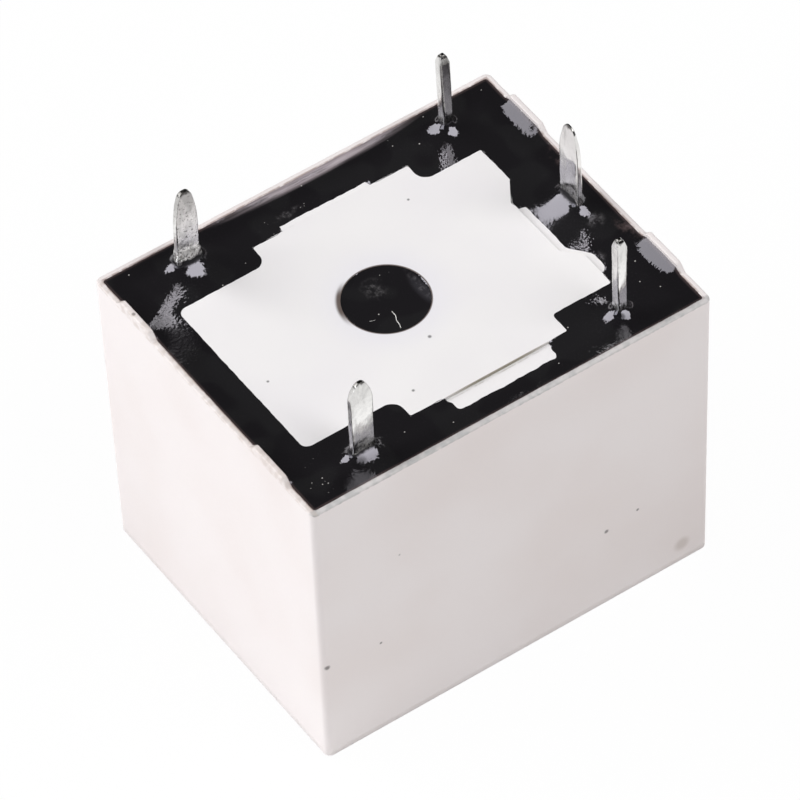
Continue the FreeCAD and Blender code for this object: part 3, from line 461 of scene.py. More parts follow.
class Surface(Shading):
    """A material with a Principled shader, plain values on its sockets, and a colour to paint on."""

    def __init__(self, name, colour, **plain):
        self.material = bpy.data.materials.new(name)
        self.material.use_nodes = True
        super().__init__(self.material.node_tree)
        self.shader = self.tree.nodes["Principled BSDF"].inputs
        self.colour = list(colour)
        for socket, value in plain.items():
            self.lead(value, self.shader[socket.replace("_", " ")])

    def paint(self, mask, shade, share=1.0):
        """Lay a shade over the colour, by a share, where a mask shows it."""
        if share != 1.0:
            mask = self.times(mask, share)
        self.colour = self.add("Mix", {0: mask, 6: self.colour, 7: [*shade, 1]}, data_type="RGBA")[2]

    def spots(self, places, shade, share=0.75):
        """Paint small spots, each at a place and of a size."""
        for centre, size in places:
            self.paint(self.mark(centre, (size, size, size)), shade, share)

    def finish(self, roughness=None, height=None, strength=0.2, depth=0.02):
        """Lead colour, roughness and height into the shader, and return the material."""
        self.lead(self.colour, self.shader["Base Color"])
        if roughness is not None:
            self.lead(roughness, self.shader["Roughness"])
        if height is not None:
            bump = self.add("Bump", {"Height": height, "Strength": strength, "Distance": depth * MM})
            self.lead(bump[0], self.shader["Normal"])
        return self.material


def tinted(colour, *shares):
    """The colour's channels, each times its share."""
    return [channel * share for channel, share in zip(colour, shares)]


def make_grain_effect():
    """The fine texture of a moulded skin, and broad clouds in its shade."""
    grain = Effect("Moulded grain", {"Grain scale": 9.0, "Cloud scale": 0.12}, ["Height", "Cloud"])
    grain.put(Height=grain.noise(grain.given["Grain scale"], 3.0, Roughness=0.55),
              Cloud=grain.noise(grain.given["Cloud scale"]))


def make_speck_effect():
    """Small scattered specks, as a mask."""
    specks = Effect("Specks", {"Scale": 1.5, "Share": 0.05, "Size": 0.08})
    cells = specks.add("TexVoronoi", {"Vector": specks.place(), "Scale": specks.given["Scale"]})
    number = specks.add("SeparateColor", {0: cells["Color"]})[0]
    chosen = specks.maths("LESS_THAN", number, specks.given["Share"])
    near = specks.minus(1.0, specks.over(cells["Distance"], specks.given["Size"]))
    specks.put(Mask=specks.least(specks.times(chosen, specks.most(near, 0.0), 2.0), 1.0))


def make_ring_effect():
    """A thin ring seen from above, as a mask."""
    ring = Effect("Ring", {"Centre": (0.0, 0.0, 0.0), "Radius": 1.0, "Width": 0.1})
    level = ring.vector("MULTIPLY", ring.place(), (1.0, 1.0, 0.0))
    reach = ring.length(ring.vector("SUBTRACT", level, ring.given["Centre"]))
    off = ring.maths("ABSOLUTE", ring.minus(reach, ring.given["Radius"]))
    ring.put(Mask=ring.ramp(ring.over(off, ring.given["Width"]), 1.0, 0.3))


def make_mark_effect():
    """One soft mark at a place, as a mask."""
    mark = Effect("Mark", {"Centre": (0.0, 0.0, 0.0), "Size": (1.0, 1.0, 1.0)})
    apart = mark.vector("SUBTRACT", mark.place(), mark.given["Centre"])
    share = mark.vector("DIVIDE", apart, mark.given["Size"])
    mark.put(Mask=mark.ramp(mark.length(share), 1.0, 0.3))


def make_band_effect():
    """A band between two heights, with a ragged edge, as a mask."""
    band = Effect("Height band", {"Start": 0.0, "End": 1.0, "Ragged": 0.1})
    start, end = band.given["Start"], band.given["End"]
    shift = band.times(band.minus(band.noise(6.0), 0.5), band.given["Ragged"])
    height = band.plus(band.split(band.place())["Z"], shift)
    share = band.over(band.minus(height, start), band.minus(end, start))
    band.put(Mask=band.ramp(share, 0.0, 1.0))


def make_seam_effect():
    """A thin, broken line round a rectangle, seen from above, as a mask."""
    seam = Effect("Seam", {"Half": (1.0, 1.0, 0.0), "Width": 0.03, "Broken": 0.5})
    size = seam.vector("ABSOLUTE", seam.place())
    apart = seam.split(seam.vector("SUBTRACT", size, seam.given["Half"]))
    off = seam.maths("ABSOLUTE", seam.most(apart["X"], apart["Y"]))
    line = seam.ramp(seam.over(off, seam.given["Width"]), 1.0, 0.4)
    gaps = seam.minus(seam.noise(2.2, 3.0, Roughness=0.7), seam.given["Broken"])
    seam.put(Mask=seam.times(line, seam.ramp(gaps, -0.08, 0.12)))


def make_crust_effect():
    """Wrinkled tin or worn metal: its height, and the dark pits in it."""
    crust = Effect("Crust", {"Scale": 6.0, "Stretch": 0.5, "Pit share": 0.3},
                   ["Height", "Pits", "Blotch"])
    narrow = crust.add("CombineXYZ", {0: 1.0, 1: 1.0, 2: crust.given["Stretch"]})[0]
    stretched = crust.vector("MULTIPLY", crust.place(), narrow)
    lumps = crust.noise(crust.given["Scale"], 4.0, at=stretched, Roughness=0.6, Distortion=0.6)
    fine = crust.noise(crust.times(crust.given["Scale"], 3.5))
    crust.put(Height=crust.plus(lumps, crust.times(fine, 0.2)),
              Pits=crust.ramp(crust.minus(fine, crust.given["Pit share"]), 0.12, 0.0), Blotch=lumps)


# Sizes and colours that a user would change

def colour(name, default, description):
    return FloatVectorProperty(name=name, default=default, description=description, subtype="COLOR",
                               size=4, min=0, max=1)


def number(name, default, description, **more):
    return FloatProperty(name=name, default=default, description=description, **more)


def angle(name, degrees, description):
    return number(name, math.radians(degrees), description, subtype="ANGLE")


def millimetres(name, default, description):
    return number(name, default * MM, description, unit="LENGTH", precision=5)


class RelayShell(bpy.types.PropertyGroup):
    """The cover and the base."""
    cover_white: colour("Cover", (0.80, 0.747, 0.74, 1), "Moulded cover")
    base_white: colour("Base", (0.83, 0.81, 0.81, 1), "Moulded base")
    rim_edge: millimetres("Rim edge", 0.07, "Rounding outside the rim")
    rim_wear: millimetres("Rim wear", 0.008, "Unevenness of the rim")
    base_edge: millimetres("Base edge", 0.05, "Rounding of the base's edges")


class RelaySealant(bpy.types.PropertyGroup):
    """The cured sealant."""
    black: colour("Sealant", (0.0075, 0.0067, 0.0078, 1), "Cured sealant")
    level: millimetres("Level", 14.58, "Sealant's level, away from every wall")
    reach: millimetres("Reach", 0.55, "How far the sealant's rise reaches from a pin")
    wall_reach: millimetres("Wall reach", 1.0, "How far it reaches from a wall")
    mound: millimetres("Mound", 1.25, "How far it reaches at the common pin")
    drift: millimetres("Drift", 3.0, "How far it reaches at the left end")
    wall_climb: millimetres("Climb at the walls", 0.35, "Rise at the cover's walls")
    tab_climb: millimetres("Climb at the tabs", 0.2, "Further rise at the standoff tabs")
    pin_climb: millimetres("Climb at the pins", 0.6, "Rise at the pins")


class RelayPins(bpy.types.PropertyGroup):
    """The pins' tinned ends."""
    tin: colour("Tin", (0.94, 0.93, 0.915, 1), "Tinned coat")
    lumps: millimetres("Lumps", 0.012, "Unevenness of the tinned coat")
    crust: millimetres("Crust", 0.07, "Lumps of the coat at the sealant")


class RelayStudio(bpy.types.PropertyGroup):
    """Camera, lamps and floor."""
    azimuth: angle("Azimuth", -32.8205, "Camera round the object")
    elevation: angle("Elevation", 48.7469, "Camera above the floor")
    roll: angle("Roll", -2.6664, "Camera about its own axis")
    distance: millimetres("Distance", 319.815, "Camera to the aim's plane")
    aim_right: millimetres("Aim right", 0.5432, "Part's origin, right of the picture's middle")
    aim_up: millimetres("Aim up", -5.5436, "Part's origin, above the picture's middle")
    lens: number("Lens", 357.36, "Focal length", unit="CAMERA")
    left_lamp: number("Left lamp", 4.15, "Radiance of the far left lamp")
    right_lamp: number("Right lamp", 4.5, "Radiance of the right lamp")
    side_lamp: number("Side lamp", 2.8, "Radiance of the near left lamp")
    ambient: number("Ambient", 0.05, "Light from all round")


GROUPS = {"relay_shell": RelayShell, "relay_sealant": RelaySealant, "relay_pins": RelayPins,
          "relay_studio": RelayStudio}


# Materials

def make_cover_white(shell):
    """Moulded white, a little yellowed in clouds, with specks, a stained rim, and painted shade on the
    rim's top along the near side.
    """
    look = Surface("cover_white", shell.cover_white, Specular_IOR_Level=0.4)
    grain = look.effect("Moulded grain", Grain_scale=7.0, Cloud_scale=0.15)
    look.paint(look.ramp(grain["Cloud"], 0.35, 0.75), tinted(shell.cover_white, 0.96, 0.94, 0.93))
    look.paint(look.mask("Specks", Scale=0.9, Share=0.03, Size=0.035), (0.25, 0.2, 0.18), 0.5)
    front = -CASE[1] + 0.1
    look.spots([((-9.07, front, 5.62), 0.17), ((4.27, front, 4.48), 0.14), ((5.79, front, 4.76), 0.1),
                ((-6.55, front, 5.34), 0.09), ((-5.53, front, 10.0), 0.09),
                ((-9.3, 4.85, CASE[2]), 0.12), ((-9.3, -0.21, 14.7), 0.1),
                ((-9.27, -7.5, RIM), 0.14)], (0.05, 0.04, 0.04))
    look.spots([((7.96, front, 1.12), 0.5)], (0.45, 0.38, 0.34), 0.5)
    seam = look.mask("Seam", Half=(*(INNER_HALF + 0.01), 0.0), Width=0.07, Broken=0.42)
    at_rim = look.times(look.band(RIM - 0.25, RIM - 0.1), look.band(RIM + 0.15, RIM + 0.05, 0.05))
    look.paint(look.times(seam, at_rim), (0.20, 0.10, 0.075), 0.6)
    # The rim's top is painted grey along the near side, a painted shade, and gets a worn brownish tint
    # along the left side; both vary with a noise.
    top = look.band(RIM - 0.12, RIM - 0.03)
    sides = look.split(look.place())
    patchy = look.noise(3.0, 3.0)
    for axis, reach, wear_and_painted_light, shade in (("Y", CASE[1], (0.35, 0.65, 0.6, 1.0), (0.47, 0.46, 0.46)),
                                     ("X", CASE[0], (0.4, 0.62, 0.1, 0.45), (0.50, 0.42, 0.37))):
        near = look.ramp(sides[axis], 0.35 - reach, 0.2 - reach)
        look.paint(look.times(top, near, look.ramp(patchy, *wear_and_painted_light)), shade)
    rough = look.ramp(grain["Height"], 0.3, 0.7, 0.42, 0.52)
    return look.finish(rough, grain["Height"], strength=0.12)


def make_base_white(shell):
    """Moulded white, bluish round the hole, with specks, a stained step, and painted shade round the
    hole's edge.
    """
    look = Surface("base_white", shell.base_white, Specular_IOR_Level=0.4)
    grain = look.effect("Moulded grain", Grain_scale=5.0, Cloud_scale=0.2)
    look.paint(look.ramp(grain["Cloud"], 0.35, 0.75), tinted(shell.base_white, 0.97, 0.965, 0.98))
    low, high = box_of("sealant_plug")
    hole_x, hole_y = (low + high)[:2] / 2
    radius = (high[0] - low[0]) / 2
    halo = look.mark((hole_x, hole_y, PLATEAU_TOP), (3.3, 3.3, 3.3))
    look.paint(halo, tinted(shell.base_white, 0.90, 0.905, 0.98), 0.7)
    look.paint(look.mask("Specks", Scale=1.3, Share=0.04, Size=0.035), (0.2, 0.17, 0.15), 0.45)
    look.spots([((-0.45, -2.5, PLATEAU_TOP), 0.11), ((-2.55, -4.4, PLATEAU_TOP), 0.09),
                ((-6.8, -0.7, PLATEAU_TOP), 0.08), ((3.0, 3.9, PLATEAU_TOP), 0.08)],
               (0.05, 0.05, 0.05))
    ledge_middle, ledge_half, endless = 0.7, 3, 50.0
    outline = spaced(level_outlines("base", PLATEAU_TOP)[0], 0.5)
    edge = -outline[abs(outline[:, 0] - ledge_middle) < ledge_half][:, 1].min()
    step = look.mask("Seam", Half=(endless, edge - 0.01, 0.0), Width=0.028, Broken=0.2)
    second = look.mask("Seam", Half=(endless, edge + 0.1, 0.0), Width=0.03, Broken=0.5)
    along = look.mark((ledge_middle, -edge, PLATEAU_TOP), (3.3, 0.5, 0.5))
    stain = look.times(look.most(step, look.times(second, 0.6)), along)
    look.paint(stain, (0.19, 0.16, 0.09), 0.8)
    # Painted shade: a dark brown ring round the hole's edge, widest on its far left, where the hole's
    # wall lies in shade.
    ring = look.mask("Ring", Centre=(hole_x, hole_y, 0.0), Radius=radius + 0.03, Width=0.24)
    rim = look.mask("Ring", Centre=(hole_x, hole_y, 0.0), Radius=radius, Width=0.07)
    side = look.mark((hole_x - 0.85 * radius, hole_y + 0.45 * radius, PLATEAU_TOP), (1.2, 1.4, 1.0))
    look.paint(look.most(look.times(ring, side), rim), (0.07, 0.042, 0.028), 0.92)
    rough = look.ramp(grain["Height"], 0.3, 0.7, 0.38, 0.5)
    return look.finish(rough, grain["Height"], strength=0.1)


def make_sealant_black(sealant):
    """Cured black resin. Its skin is glossy, finely uneven, dusty, and duller beside the walls. A
    streaked band along the far wall is a painted reflection, and so is a grey crescent at the plug's
    right edge.
    """
    look = Surface("sealant_black", sealant.black, IOR=1.8, Specular_Tint=[0.93, 0.9, 1.0, 1])
    place = look.place()
    patches = look.noise(0.45, 1.0)
    patchy = look.ramp(look.noise(2.6, 3.0, Roughness=0.7), 0.45, 0.7)
    sides = look.split(look.vector("SUBTRACT", look.vector("ABSOLUTE", place), (*INNER_HALF, 0.0)))
    from_wall = look.most(sides["X"], sides["Y"])

    def marked(*places):
        """A mask of marks in the skin, each at a place and of a size along X and Y."""
        return look.most(*[look.mark((*centre, PLATEAU_TOP), (*size, 0.8)) for centre, size in places])

    common = foot_of("terminal_common")[0]
    soft = marked((common - (1.0, 0.3), (1.7, 1.9)))
    dull = marked(((-8.4, 2.6), (1.4, 1.6)), ((-6.7, -6.95), (1.0, 0.7)), ((5.6, -6.9), (0.9, 0.7)),
                  ((-6.4, -6.4), (0.5, 0.4)), ((6.0, -6.3), (0.2, 0.2)), ((-6.8, -6.9), (0.8, 0.6)),
                  ((-7.25, -7.0), (0.8, 0.75)), ((-6.15, -6.0), (0.4, 0.32)))
    height = look.times(look.noise(8.0, 1.0), look.ramp(patches, 0.4, 0.6, 0.5, 1.0),
                        look.ramp(soft, 0.0, 1.0, 1.0, 0.3))
    look.paint(look.ramp(patches, 0.48, 0.56), (0.0105, 0.01, 0.0108))

    # Painted reflection: a streaked, lilac grey band along the far wall, where the skin rises to the
    # wall.
    streaks = look.noise(1.0, 3.0, at=look.vector("MULTIPLY", place, (0.5, 7.0, 1.0)))
    far = look.mark((0.9, INNER_HALF[1], RIM), (5.7, 0.41, 3.0))
    film = look.times(far, look.ramp(streaks, 0.3, 0.6, 0.3, 1.0))
    look.paint(film, (0.42, 0.36, 0.38))
    right_end = marked(((9.1, -2.4), (0.6, 1.1)), ((9.1, 2.1), (0.5, 0.9)))
    residue = look.most(look.times(look.ramp(from_wall, -0.13, -0.03), 0.35),
                        look.times(right_end, patchy, 0.5))
    look.paint(residue, (0.115, 0.08, 0.078))
    # Grey, rougher worn patches; the one at the plug's right edge is a painted dim reflection.
    wear_and_painted_light = marked(((-0.75, 0.85), (0.65, 0.75)), ((0.8, -0.1), (0.22, 1.3)), ((8.25, -1.4), (0.5, 0.45)),
                  ((7.0, -3.0), (0.7, 0.6)), ((-1.2, 6.15), (0.9, 0.25)))
    wear_and_reflection = look.times(wear_and_painted_light, patchy)
    look.paint(wear_and_reflection, (0.16, 0.15, 0.155), 0.4)
    # A faint bluish crescent at the plug's right edge: a painted dim reflection.
    look.paint(marked(((0.75, -0.3), (0.35, 1.2))), (0.045, 0.043, 0.05), 0.5)
    dust = look.mask("Specks", Scale=2.2, Share=0.16, Size=0.08)
    grit = look.mask("Specks", Scale=4.5, Share=0.4, Size=0.15)
    gritty = marked(((-1.3, 6.05), (1.5, 0.5)), ((-8.0, -6.1), (1.6, 1.0)), ((-0.1, 1.4), (0.4, 0.5)))
    look.paint(look.most(dust, look.times(grit, gritty)), (0.6, 0.58, 0.55), 0.85)

    up_pins = look.band(RIM + 0.25, RIM + 0.4)
    rough = look.ramp(look.noise(0.7), 0.4, 0.75, 0.03, 0.07)
    for mask, more in ((residue, 0.5), (wear_and_reflection, 0.4), (film, 0.4), (soft, 0.07), (dull, 0.15),
                       (up_pins, 0.6)):
        rough = look.plus(rough, look.times(mask, more))
    gloss = look.times(look.ramp(from_wall, -1.2, -0.5, 0.62, 0.36),
                       look.ramp(dull, 0.0, 1.0, 1.0, 0.3), look.ramp(up_pins, 0.0, 1.0, 1.0, 0.15))
    look.lead(gloss, look.shader["Specular IOR Level"])
    return look.finish(rough, height, strength=0.5, depth=0.021)


def make_tin(name, pins, scale, roughness, pitted, bump, soot=None, wrinkled=0.4, tip_at=PIN_TIP,
             shade=0.35):
    """Hot-dipped tin: bright, with duller blotches, dark pits, a burnt tip and a wrinkled foot."""
    look = Surface(name, pins.tin, Metallic=1.0)
    dark = (0.12, 0.115, 0.11)
    crust = look.effect("Crust", Scale=scale, Stretch=0.4, Pit_share=pitted)
    look.paint(look.ramp(crust["Blotch"], 0.45, 0.65), tinted(pins.tin, 0.8, 0.8, 0.8))
    coated = look.band(CHANNEL_FLOOR, RIM)
    look.paint(look.times(crust["Pits"], coated), dark)
    look.paint(look.band(tip_at - 2.2, tip_at - 0.5, 1.2), (0.38, 0.37, 0.36), shade)
    look.paint(look.band(tip_at - 0.2, tip_at - 0.04, 0.35), dark)
    if soot:
        streaks = look.ramp(crust["Blotch"], 0.4, 0.62, 1.0, 0.75)
        look.paint(look.times(look.mark(soot, (1.5, 0.3, 5.0)), streaks), dark)
    foot = look.band(RIM + 1.3, RIM + 0.5, 0.5)
    folds = look.noise(4.0, 3.0, Distortion=1.5)
    look.paint(look.times(foot, look.ramp(folds, 0.5, 0.4)), dark, wrinkled)
    height = look.plus(crust["Height"], look.times(folds, foot, 4.0 * wrinkled))
    height = look.times(height, look.ramp(coated, 0.0, 1.0, 0.2, 1.0))
    rough = look.ramp(crust["Blotch"], 0.4, 0.65, roughness, roughness + 0.15)
    return look.finish(rough, height, strength=bump)


def make_sheet_metal(name, tint, roughness, scale):
    """A cut or rolled metal, for a part that is sealed inside."""
    look = Surface(name, (*tint, 1), Metallic=1.0)
    crust = look.effect("Crust", Scale=scale, Stretch=0.15, Pit_share=0.22)
    look.paint(look.ramp(crust["Blotch"], 0.4, 0.6), tinted(tint, 0.8, 0.8, 0.8))
    rough = look.ramp(crust["Blotch"], 0.4, 0.6, roughness, roughness + 0.12)
    return look.finish(rough, crust["Height"], strength=0.3, depth=0.01)


def make_copper_wire():
    """Enamelled wire, laid turn beside turn, with painted shade in the grooves between the turns."""
    look = Surface("copper_wire", (0.30, 0.12, 0.06, 1), Metallic=1.0, Coat_Weight=0.5)
    turns = look.add("TexWave", {"Vector": look.place(), "Scale": 4.0, "Distortion": 0.6, "Detail": 1.0},
                     wave_type="BANDS", bands_direction="Z")["Fac"]
    # Painted shade: the wire is darker in the grooves between its turns, where the bump is low.
    look.paint(turns, (0.72, 0.32, 0.16))
    rough = look.ramp(look.noise(3.0), 0.4, 0.6, 0.22, 0.36)
    return look.finish(rough, turns, strength=0.8, depth=0.03)


def make_bobbin_plastic():
    """Moulded dark grey, with a fine grain."""
    look = Surface("bobbin_plastic", (0.035, 0.035, 0.037, 1))
    grain = look.effect("Moulded grain", Grain_scale=8.0, Cloud_scale=0.4)
    look.paint(grain["Cloud"], (0.05, 0.05, 0.052))
    return look.finish(look.ramp(grain["Height"], 0.3, 0.7, 0.4, 0.55), grain["Height"])


# Operators

class RelayOperator:
    """What the operators share."""
    bl_options = {"REGISTER", "UNDO"}

    def execute(self, context):
        self.build(context.scene)
        return {"FINISHED"}


class RELAY_OT_effects(RelayOperator, bpy.types.Operator):
    """Make the shader effects that several materials use"""
    bl_idname = "relay.effects"
    bl_label = "Shader effects"

    def build(self, scene):
        for make in (make_grain_effect, make_speck_effect, make_mark_effect, make_ring_effect,
                     make_band_effect, make_seam_effect, make_crust_effect):
            make()


class RELAY_OT_shell(RelayOperator, bpy.types.Operator):
    """Build the cover, with its rounded rim, and round the base's edges"""
    bl_idname = "relay.shell"
    bl_label = "Cover and base"
    draft = 0.15                            # how much narrower the cover is at its closed face
    lean = 0.35                             # the same, inside
    corner, inner_corner = 0.28, 0.12
    bevel = 0.12                            # at the closed face's edge
    top = 0.6                               # thickness of the closed face
    straight = (8.7, 6.9)                   # half lengths of the sides between their corners
    spacing = 0.3

    def build(self, scene):
        shell = scene.relay_shell
        self.make_cover(shell)
        base = recast("base", shell.base_edge / MM, make_base_white(shell))
        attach(base, STILL)
        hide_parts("base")

    def ring(self, inset, radius, height, on_rim=False):
        """One ring round the cover, at a height, or at a height over the rim and its tabs."""
        half_x, half_y = CASE[:2] - inset
        steps = 6
        along_x, along_y = [np.arange(-reach, reach + 0.01, self.spacing) for reach in self.straight]
        tab_ends = [middle + side * (TAB_REACH - drop) + np.arange(-3, 4) * 0.02
                    for middle in TAB_MIDDLES for side in (-1, 1) for drop in (0, TAB_HEIGHT)]
        along_y = np.unique(np.round(np.concatenate([along_y] + tab_ends), 4))
        corners = rounded_rectangle(half_x, half_y, radius, steps).reshape(4, steps + 1, 2)
        sides = [np.column_stack([along_x[::-1], np.full(len(along_x), half_y)]),
                 np.column_stack([np.full(len(along_y), -half_x), along_y[::-1]]),
                 np.column_stack([along_x, np.full(len(along_x), -half_y)]),
                 np.column_stack([np.full(len(along_y), half_x), along_y])]
        flat = np.concatenate([part for pair in zip(corners, sides) for part in pair])
        if on_rim:
            on_side = abs(flat[:, 0]) > half_x - radius / 2
            height = RIM + height + np.where(on_side, tab_rise(flat[:, 1]), 0)
        return at_height(flat, height)

    def make_cover(self, shell):
        """The cover, from its closed face up the outside, over the rim and down the inside."""
        edge = shell.rim_edge / MM
        inner_edge = 0.6 * edge
        rings = [self.ring(self.draft + self.bevel, self.corner, SAME),
                 self.ring(self.draft, self.corner, self.bevel)]
        rings += [self.ring(self.draft * (1 - z / RIM), self.corner, z)
                  for z in np.linspace(0.5, RIM - 0.5, 6)]
        rim_start = len(rings)
        for turn in np.linspace(0, math.pi / 2, 5):
            inset = edge * (1 - math.cos(turn))
            rings.append(self.ring(inset, self.corner - 0.4 * inset, edge * (math.sin(turn) - 1), True))
        for turn in np.linspace(0, math.pi / 2, 4):
            rings.append(self.ring(RIM_WALL - inner_edge * (1 - math.sin(turn)), self.inner_corner,
                                   inner_edge * (math.cos(turn) - 1), True))
        rim_end = len(rings)
        for z in (RIM - 0.4, self.top):
            rings.append(self.ring(RIM_WALL + self.lean * (1 - z / RIM), self.inner_corner, z))
        points, faces = loft(rings)
        rim = slice(rim_start * len(rings[0]), rim_end * len(rings[0]))
        near_side = abs(points[rim, :2]) > CASE[:2] - 0.4
        outward = np.sign(points[rim, :2]) * near_side
        points[rim, 2] += shell.rim_wear / MM * wander(points[rim], 1.7, 3)
        points[rim, :2] += outward * (shell.rim_wear / MM * wander(points[rim], 2.3, 4))[:, None]
        cover = new_piece("cover_shell", points, faces, make_cover_white(shell), sharp=50)
        even_shading(cover)
        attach(cover, STILL)
        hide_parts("cover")


def liquid_skin(points, triangles, fixed, height, reach):
    """Heights of a liquid's skin between fixed edges: steep beside them and level farther off."""
    corner = points[triangles]
    weights, rows, columns = [], [], []
    area = np.zeros(len(points))
    for i in range(3):
        a, b, c = corner[:, i], corner[:, (i + 1) % 3], corner[:, (i + 2) % 3]
        left, right = b - a, c - a
        twice = left[:, 0] * right[:, 1] - left[:, 1] * right[:, 0]
        slope = (left * right).sum(1) / np.maximum(abs(twice), TINY) / 2
        j, k = triangles[:, (i + 1) % 3], triangles[:, (i + 2) % 3]
        weights += [slope, slope]
        rows += [j, k]
        columns += [k, j]
        area += np.bincount(triangles[:, i], abs(twice) / 6, len(points))
    weights, rows, columns = map(np.concatenate, (weights, rows, columns))
    diagonal = np.bincount(rows, weights, len(points)) + area / reach ** 2

    def pull(values):
        return diagonal * values - np.bincount(rows, weights * values[columns], len(points))

    most_steps, settled = 2000, 1e-16
    height = np.where(fixed, height, 0.0)
    residual = np.where(fixed, 0, -pull(height))
    step = residual / diagonal
    energy = residual @ step
    for _ in range(most_steps):
        pushed = np.where(fixed, 0, pull(step))
        share = energy / (step @ pushed)
        height = height + share * step
        residual = residual - share * pushed
        fresh = residual / diagonal
        new_energy = residual @ fresh
        if new_energy < settled:
            break
        step = fresh + new_energy / energy * step
        energy = new_energy
    return height


class RELAY_OT_sealant(RelayOperator, bpy.types.Operator):
    """Build the sealant's skin between the cover, the base and the pins"""
    bl_idname = "relay.sealant"
    bl_label = "Sealant"
    coarse, fine = 0.11, 0.05               # between the skin's points, and between those near a pin
    near_pin = 1.3                          # how far from a pin's foot they are fine
    corner = 0.12                           # radius of the channel's outer corners
    apart = 0.6                             # least way from an edge to a free point, in fine steps
    film = 0.004                            # thickness of the sealant at the base's edges
    tuck = 0.02                             # how far the skin reaches into a pin
    # Rise at each pin, on its sides that face along X and those that face along Y
    pin_climbs = {"terminal_no": (1.6, 1.75), "terminal_nc": (1.5, 1.3),
                  "terminal_common": (1.4, 1.15), "coil_pin_a": (1.25, 1.25),
                  "coil_pin_b": (1.25, 1.1)}
    wider = {"terminal_no": 1.25, "coil_pin_a": 1.15, "coil_pin_b": 1.2, "terminal_nc": 1.35}

    def build(self, scene):
        sealant = scene.relay_sealant
        black = make_sealant_black(sealant)
        feet = {}
        for pin in FOOT_SHIFT:
            middle, sides = foot_of(pin)
            feet[pin] = rounded_rectangle(*(sides - self.tuck), radius=0.05, steps=3) + middle
        outlines = self.outlines(feet)
        flat, triangles, kinds = self.net(outlines, self.loose_points(outlines, feet))
        at_tab = smooth_step(7.5, 8.6, abs(flat[:, 0])) * tab_rise(flat[:, 1]) / TAB_HEIGHT
        height = liquid_skin(flat, triangles, kinds != "loose",
                             self.edge_heights(flat, kinds, at_tab, sealant),
                             self.reach_at(flat, feet, at_tab, sealant))
        top = at_height(flat, height + sealant.level / MM)
        points = np.concatenate([top, at_height(flat, CHANNEL_FLOOR)])
        ring = new_piece("sealant_skin", points, thickened(triangles, len(flat)), black, sharp=60)
        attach(ring, STILL)
        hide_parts("sealant_ring")
        self.make_plug(black)
        self.make_lint()

    def outlines(self, feet):
        """The skin's outer line first, then those round the base, its ledges and the pins."""
        wall = spaced(rounded_rectangle(*INNER_HALF, self.corner, steps=6), self.fine * 2)
        plateau = level_outlines("base", PLATEAU_TOP)[0]
        ledges = level_outlines("base", LEDGE_TOP)
        drawn = [ragged_inwards(spaced(ledge, self.fine * 2), least=0.02, most=0.12, seed=13 + i,
                                neighbours=[plateau]) for i, ledge in enumerate(ledges)]
        plateau = ragged_inwards(spaced(plateau, self.fine * 2), least=0.02, most=0.07, seed=11,
                                 neighbours=ledges)
        return ([("wall", wall), ("plateau", plateau)] + [("ledge", ledge) for ledge in drawn]
                + [(pin, spaced(foot, self.fine)) for pin, foot in feet.items()])

    def in_channel(self, points, outlines):
        """Which points lie inside the first outline and outside every other."""
        found = inside(points, outlines[0][1])
        for _, outline in outlines[1:]:
            found &= ~inside(points, outline)
        return found

    def loose_points(self, outlines, feet):
        """The skin's points between its edges, closer together near the pins."""
        loose = [lattice(-INNER_HALF, INNER_HALF, self.coarse)]
        for foot in feet.values():
            low, high = foot.min(0) - self.near_pin, foot.max(0) + self.near_pin
            loose[0] = loose[0][~((loose[0] > low) & (loose[0] < high)).all(1)]
            loose.append(lattice(low, high, self.fine))
        loose = np.concatenate(loose)
        keep = self.in_channel(loose, outlines)
        for _, outline in outlines:
            keep &= distance_to(loose, outline) > self.fine * self.apart
        return loose[keep]

    def net(self, outlines, loose):
        """Triangles over the channel: their points, the triangles, and what each point lies on."""
        points, kinds, edges = [], [], []
        for kind, outline in outlines:
            first, count = len(points), len(outline)
            points += [Vector(point) for point in outline]
            kinds += [kind] * count
            edges += [(first + i, first + (i + 1) % count) for i in range(count)]
        points += [Vector(point) for point in loose]
        kinds += ["loose"] * len(loose)
        whole_hull, nearest = 0, 1e-5
        made = delaunay_2d_cdt(points, edges, [], whole_hull, nearest)
        flat, triangles = np.array([tuple(point) for point in made[0]]), np.array(made[2])
        kinds = np.array([kinds[sources[0]] if sources else "plateau" for sources in made[3]])
        triangles = triangles[self.in_channel(flat[triangles].mean(1), outlines)]
        used, triangles = np.unique(triangles, return_inverse=True)
        return flat[used], triangles.reshape(-1, 3), kinds[used]

    def edge_heights(self, flat, kinds, at_tab, sealant):
        """Heights above the sealant's level, where the skin meets the walls, the base and the pins."""
        along = at_height(flat)
        ragged = wander(along, 1.1, 1) + 0.5 * wander(along, 3.7, 2)
        ragged_wall, ragged_pin = 0.025 * ragged, 0.03 * ragged
        on_base = self.film - sealant.level / MM
        heights = {"wall": (sealant.wall_climb + sealant.tab_climb * at_tab) / MM + ragged_wall,
                   "plateau": PLATEAU_TOP + on_base, "ledge": LEDGE_TOP + on_base}
        for pin, (at_ends, at_sides) in self.pin_climbs.items():
            middle, sides = foot_of(pin)
            out = abs(flat - middle) / sides
            end = smooth_step(-0.4, 0.4, out[:, 0] - out[:, 1])
            more = at_ends * end + at_sides * (1 - end)
            heights[pin] = sealant.pin_climb / MM * more + ragged_pin
        height = np.zeros(len(flat))
        for kind, edge in heights.items():
            height = np.where(kinds == kind, edge, height)
        return height

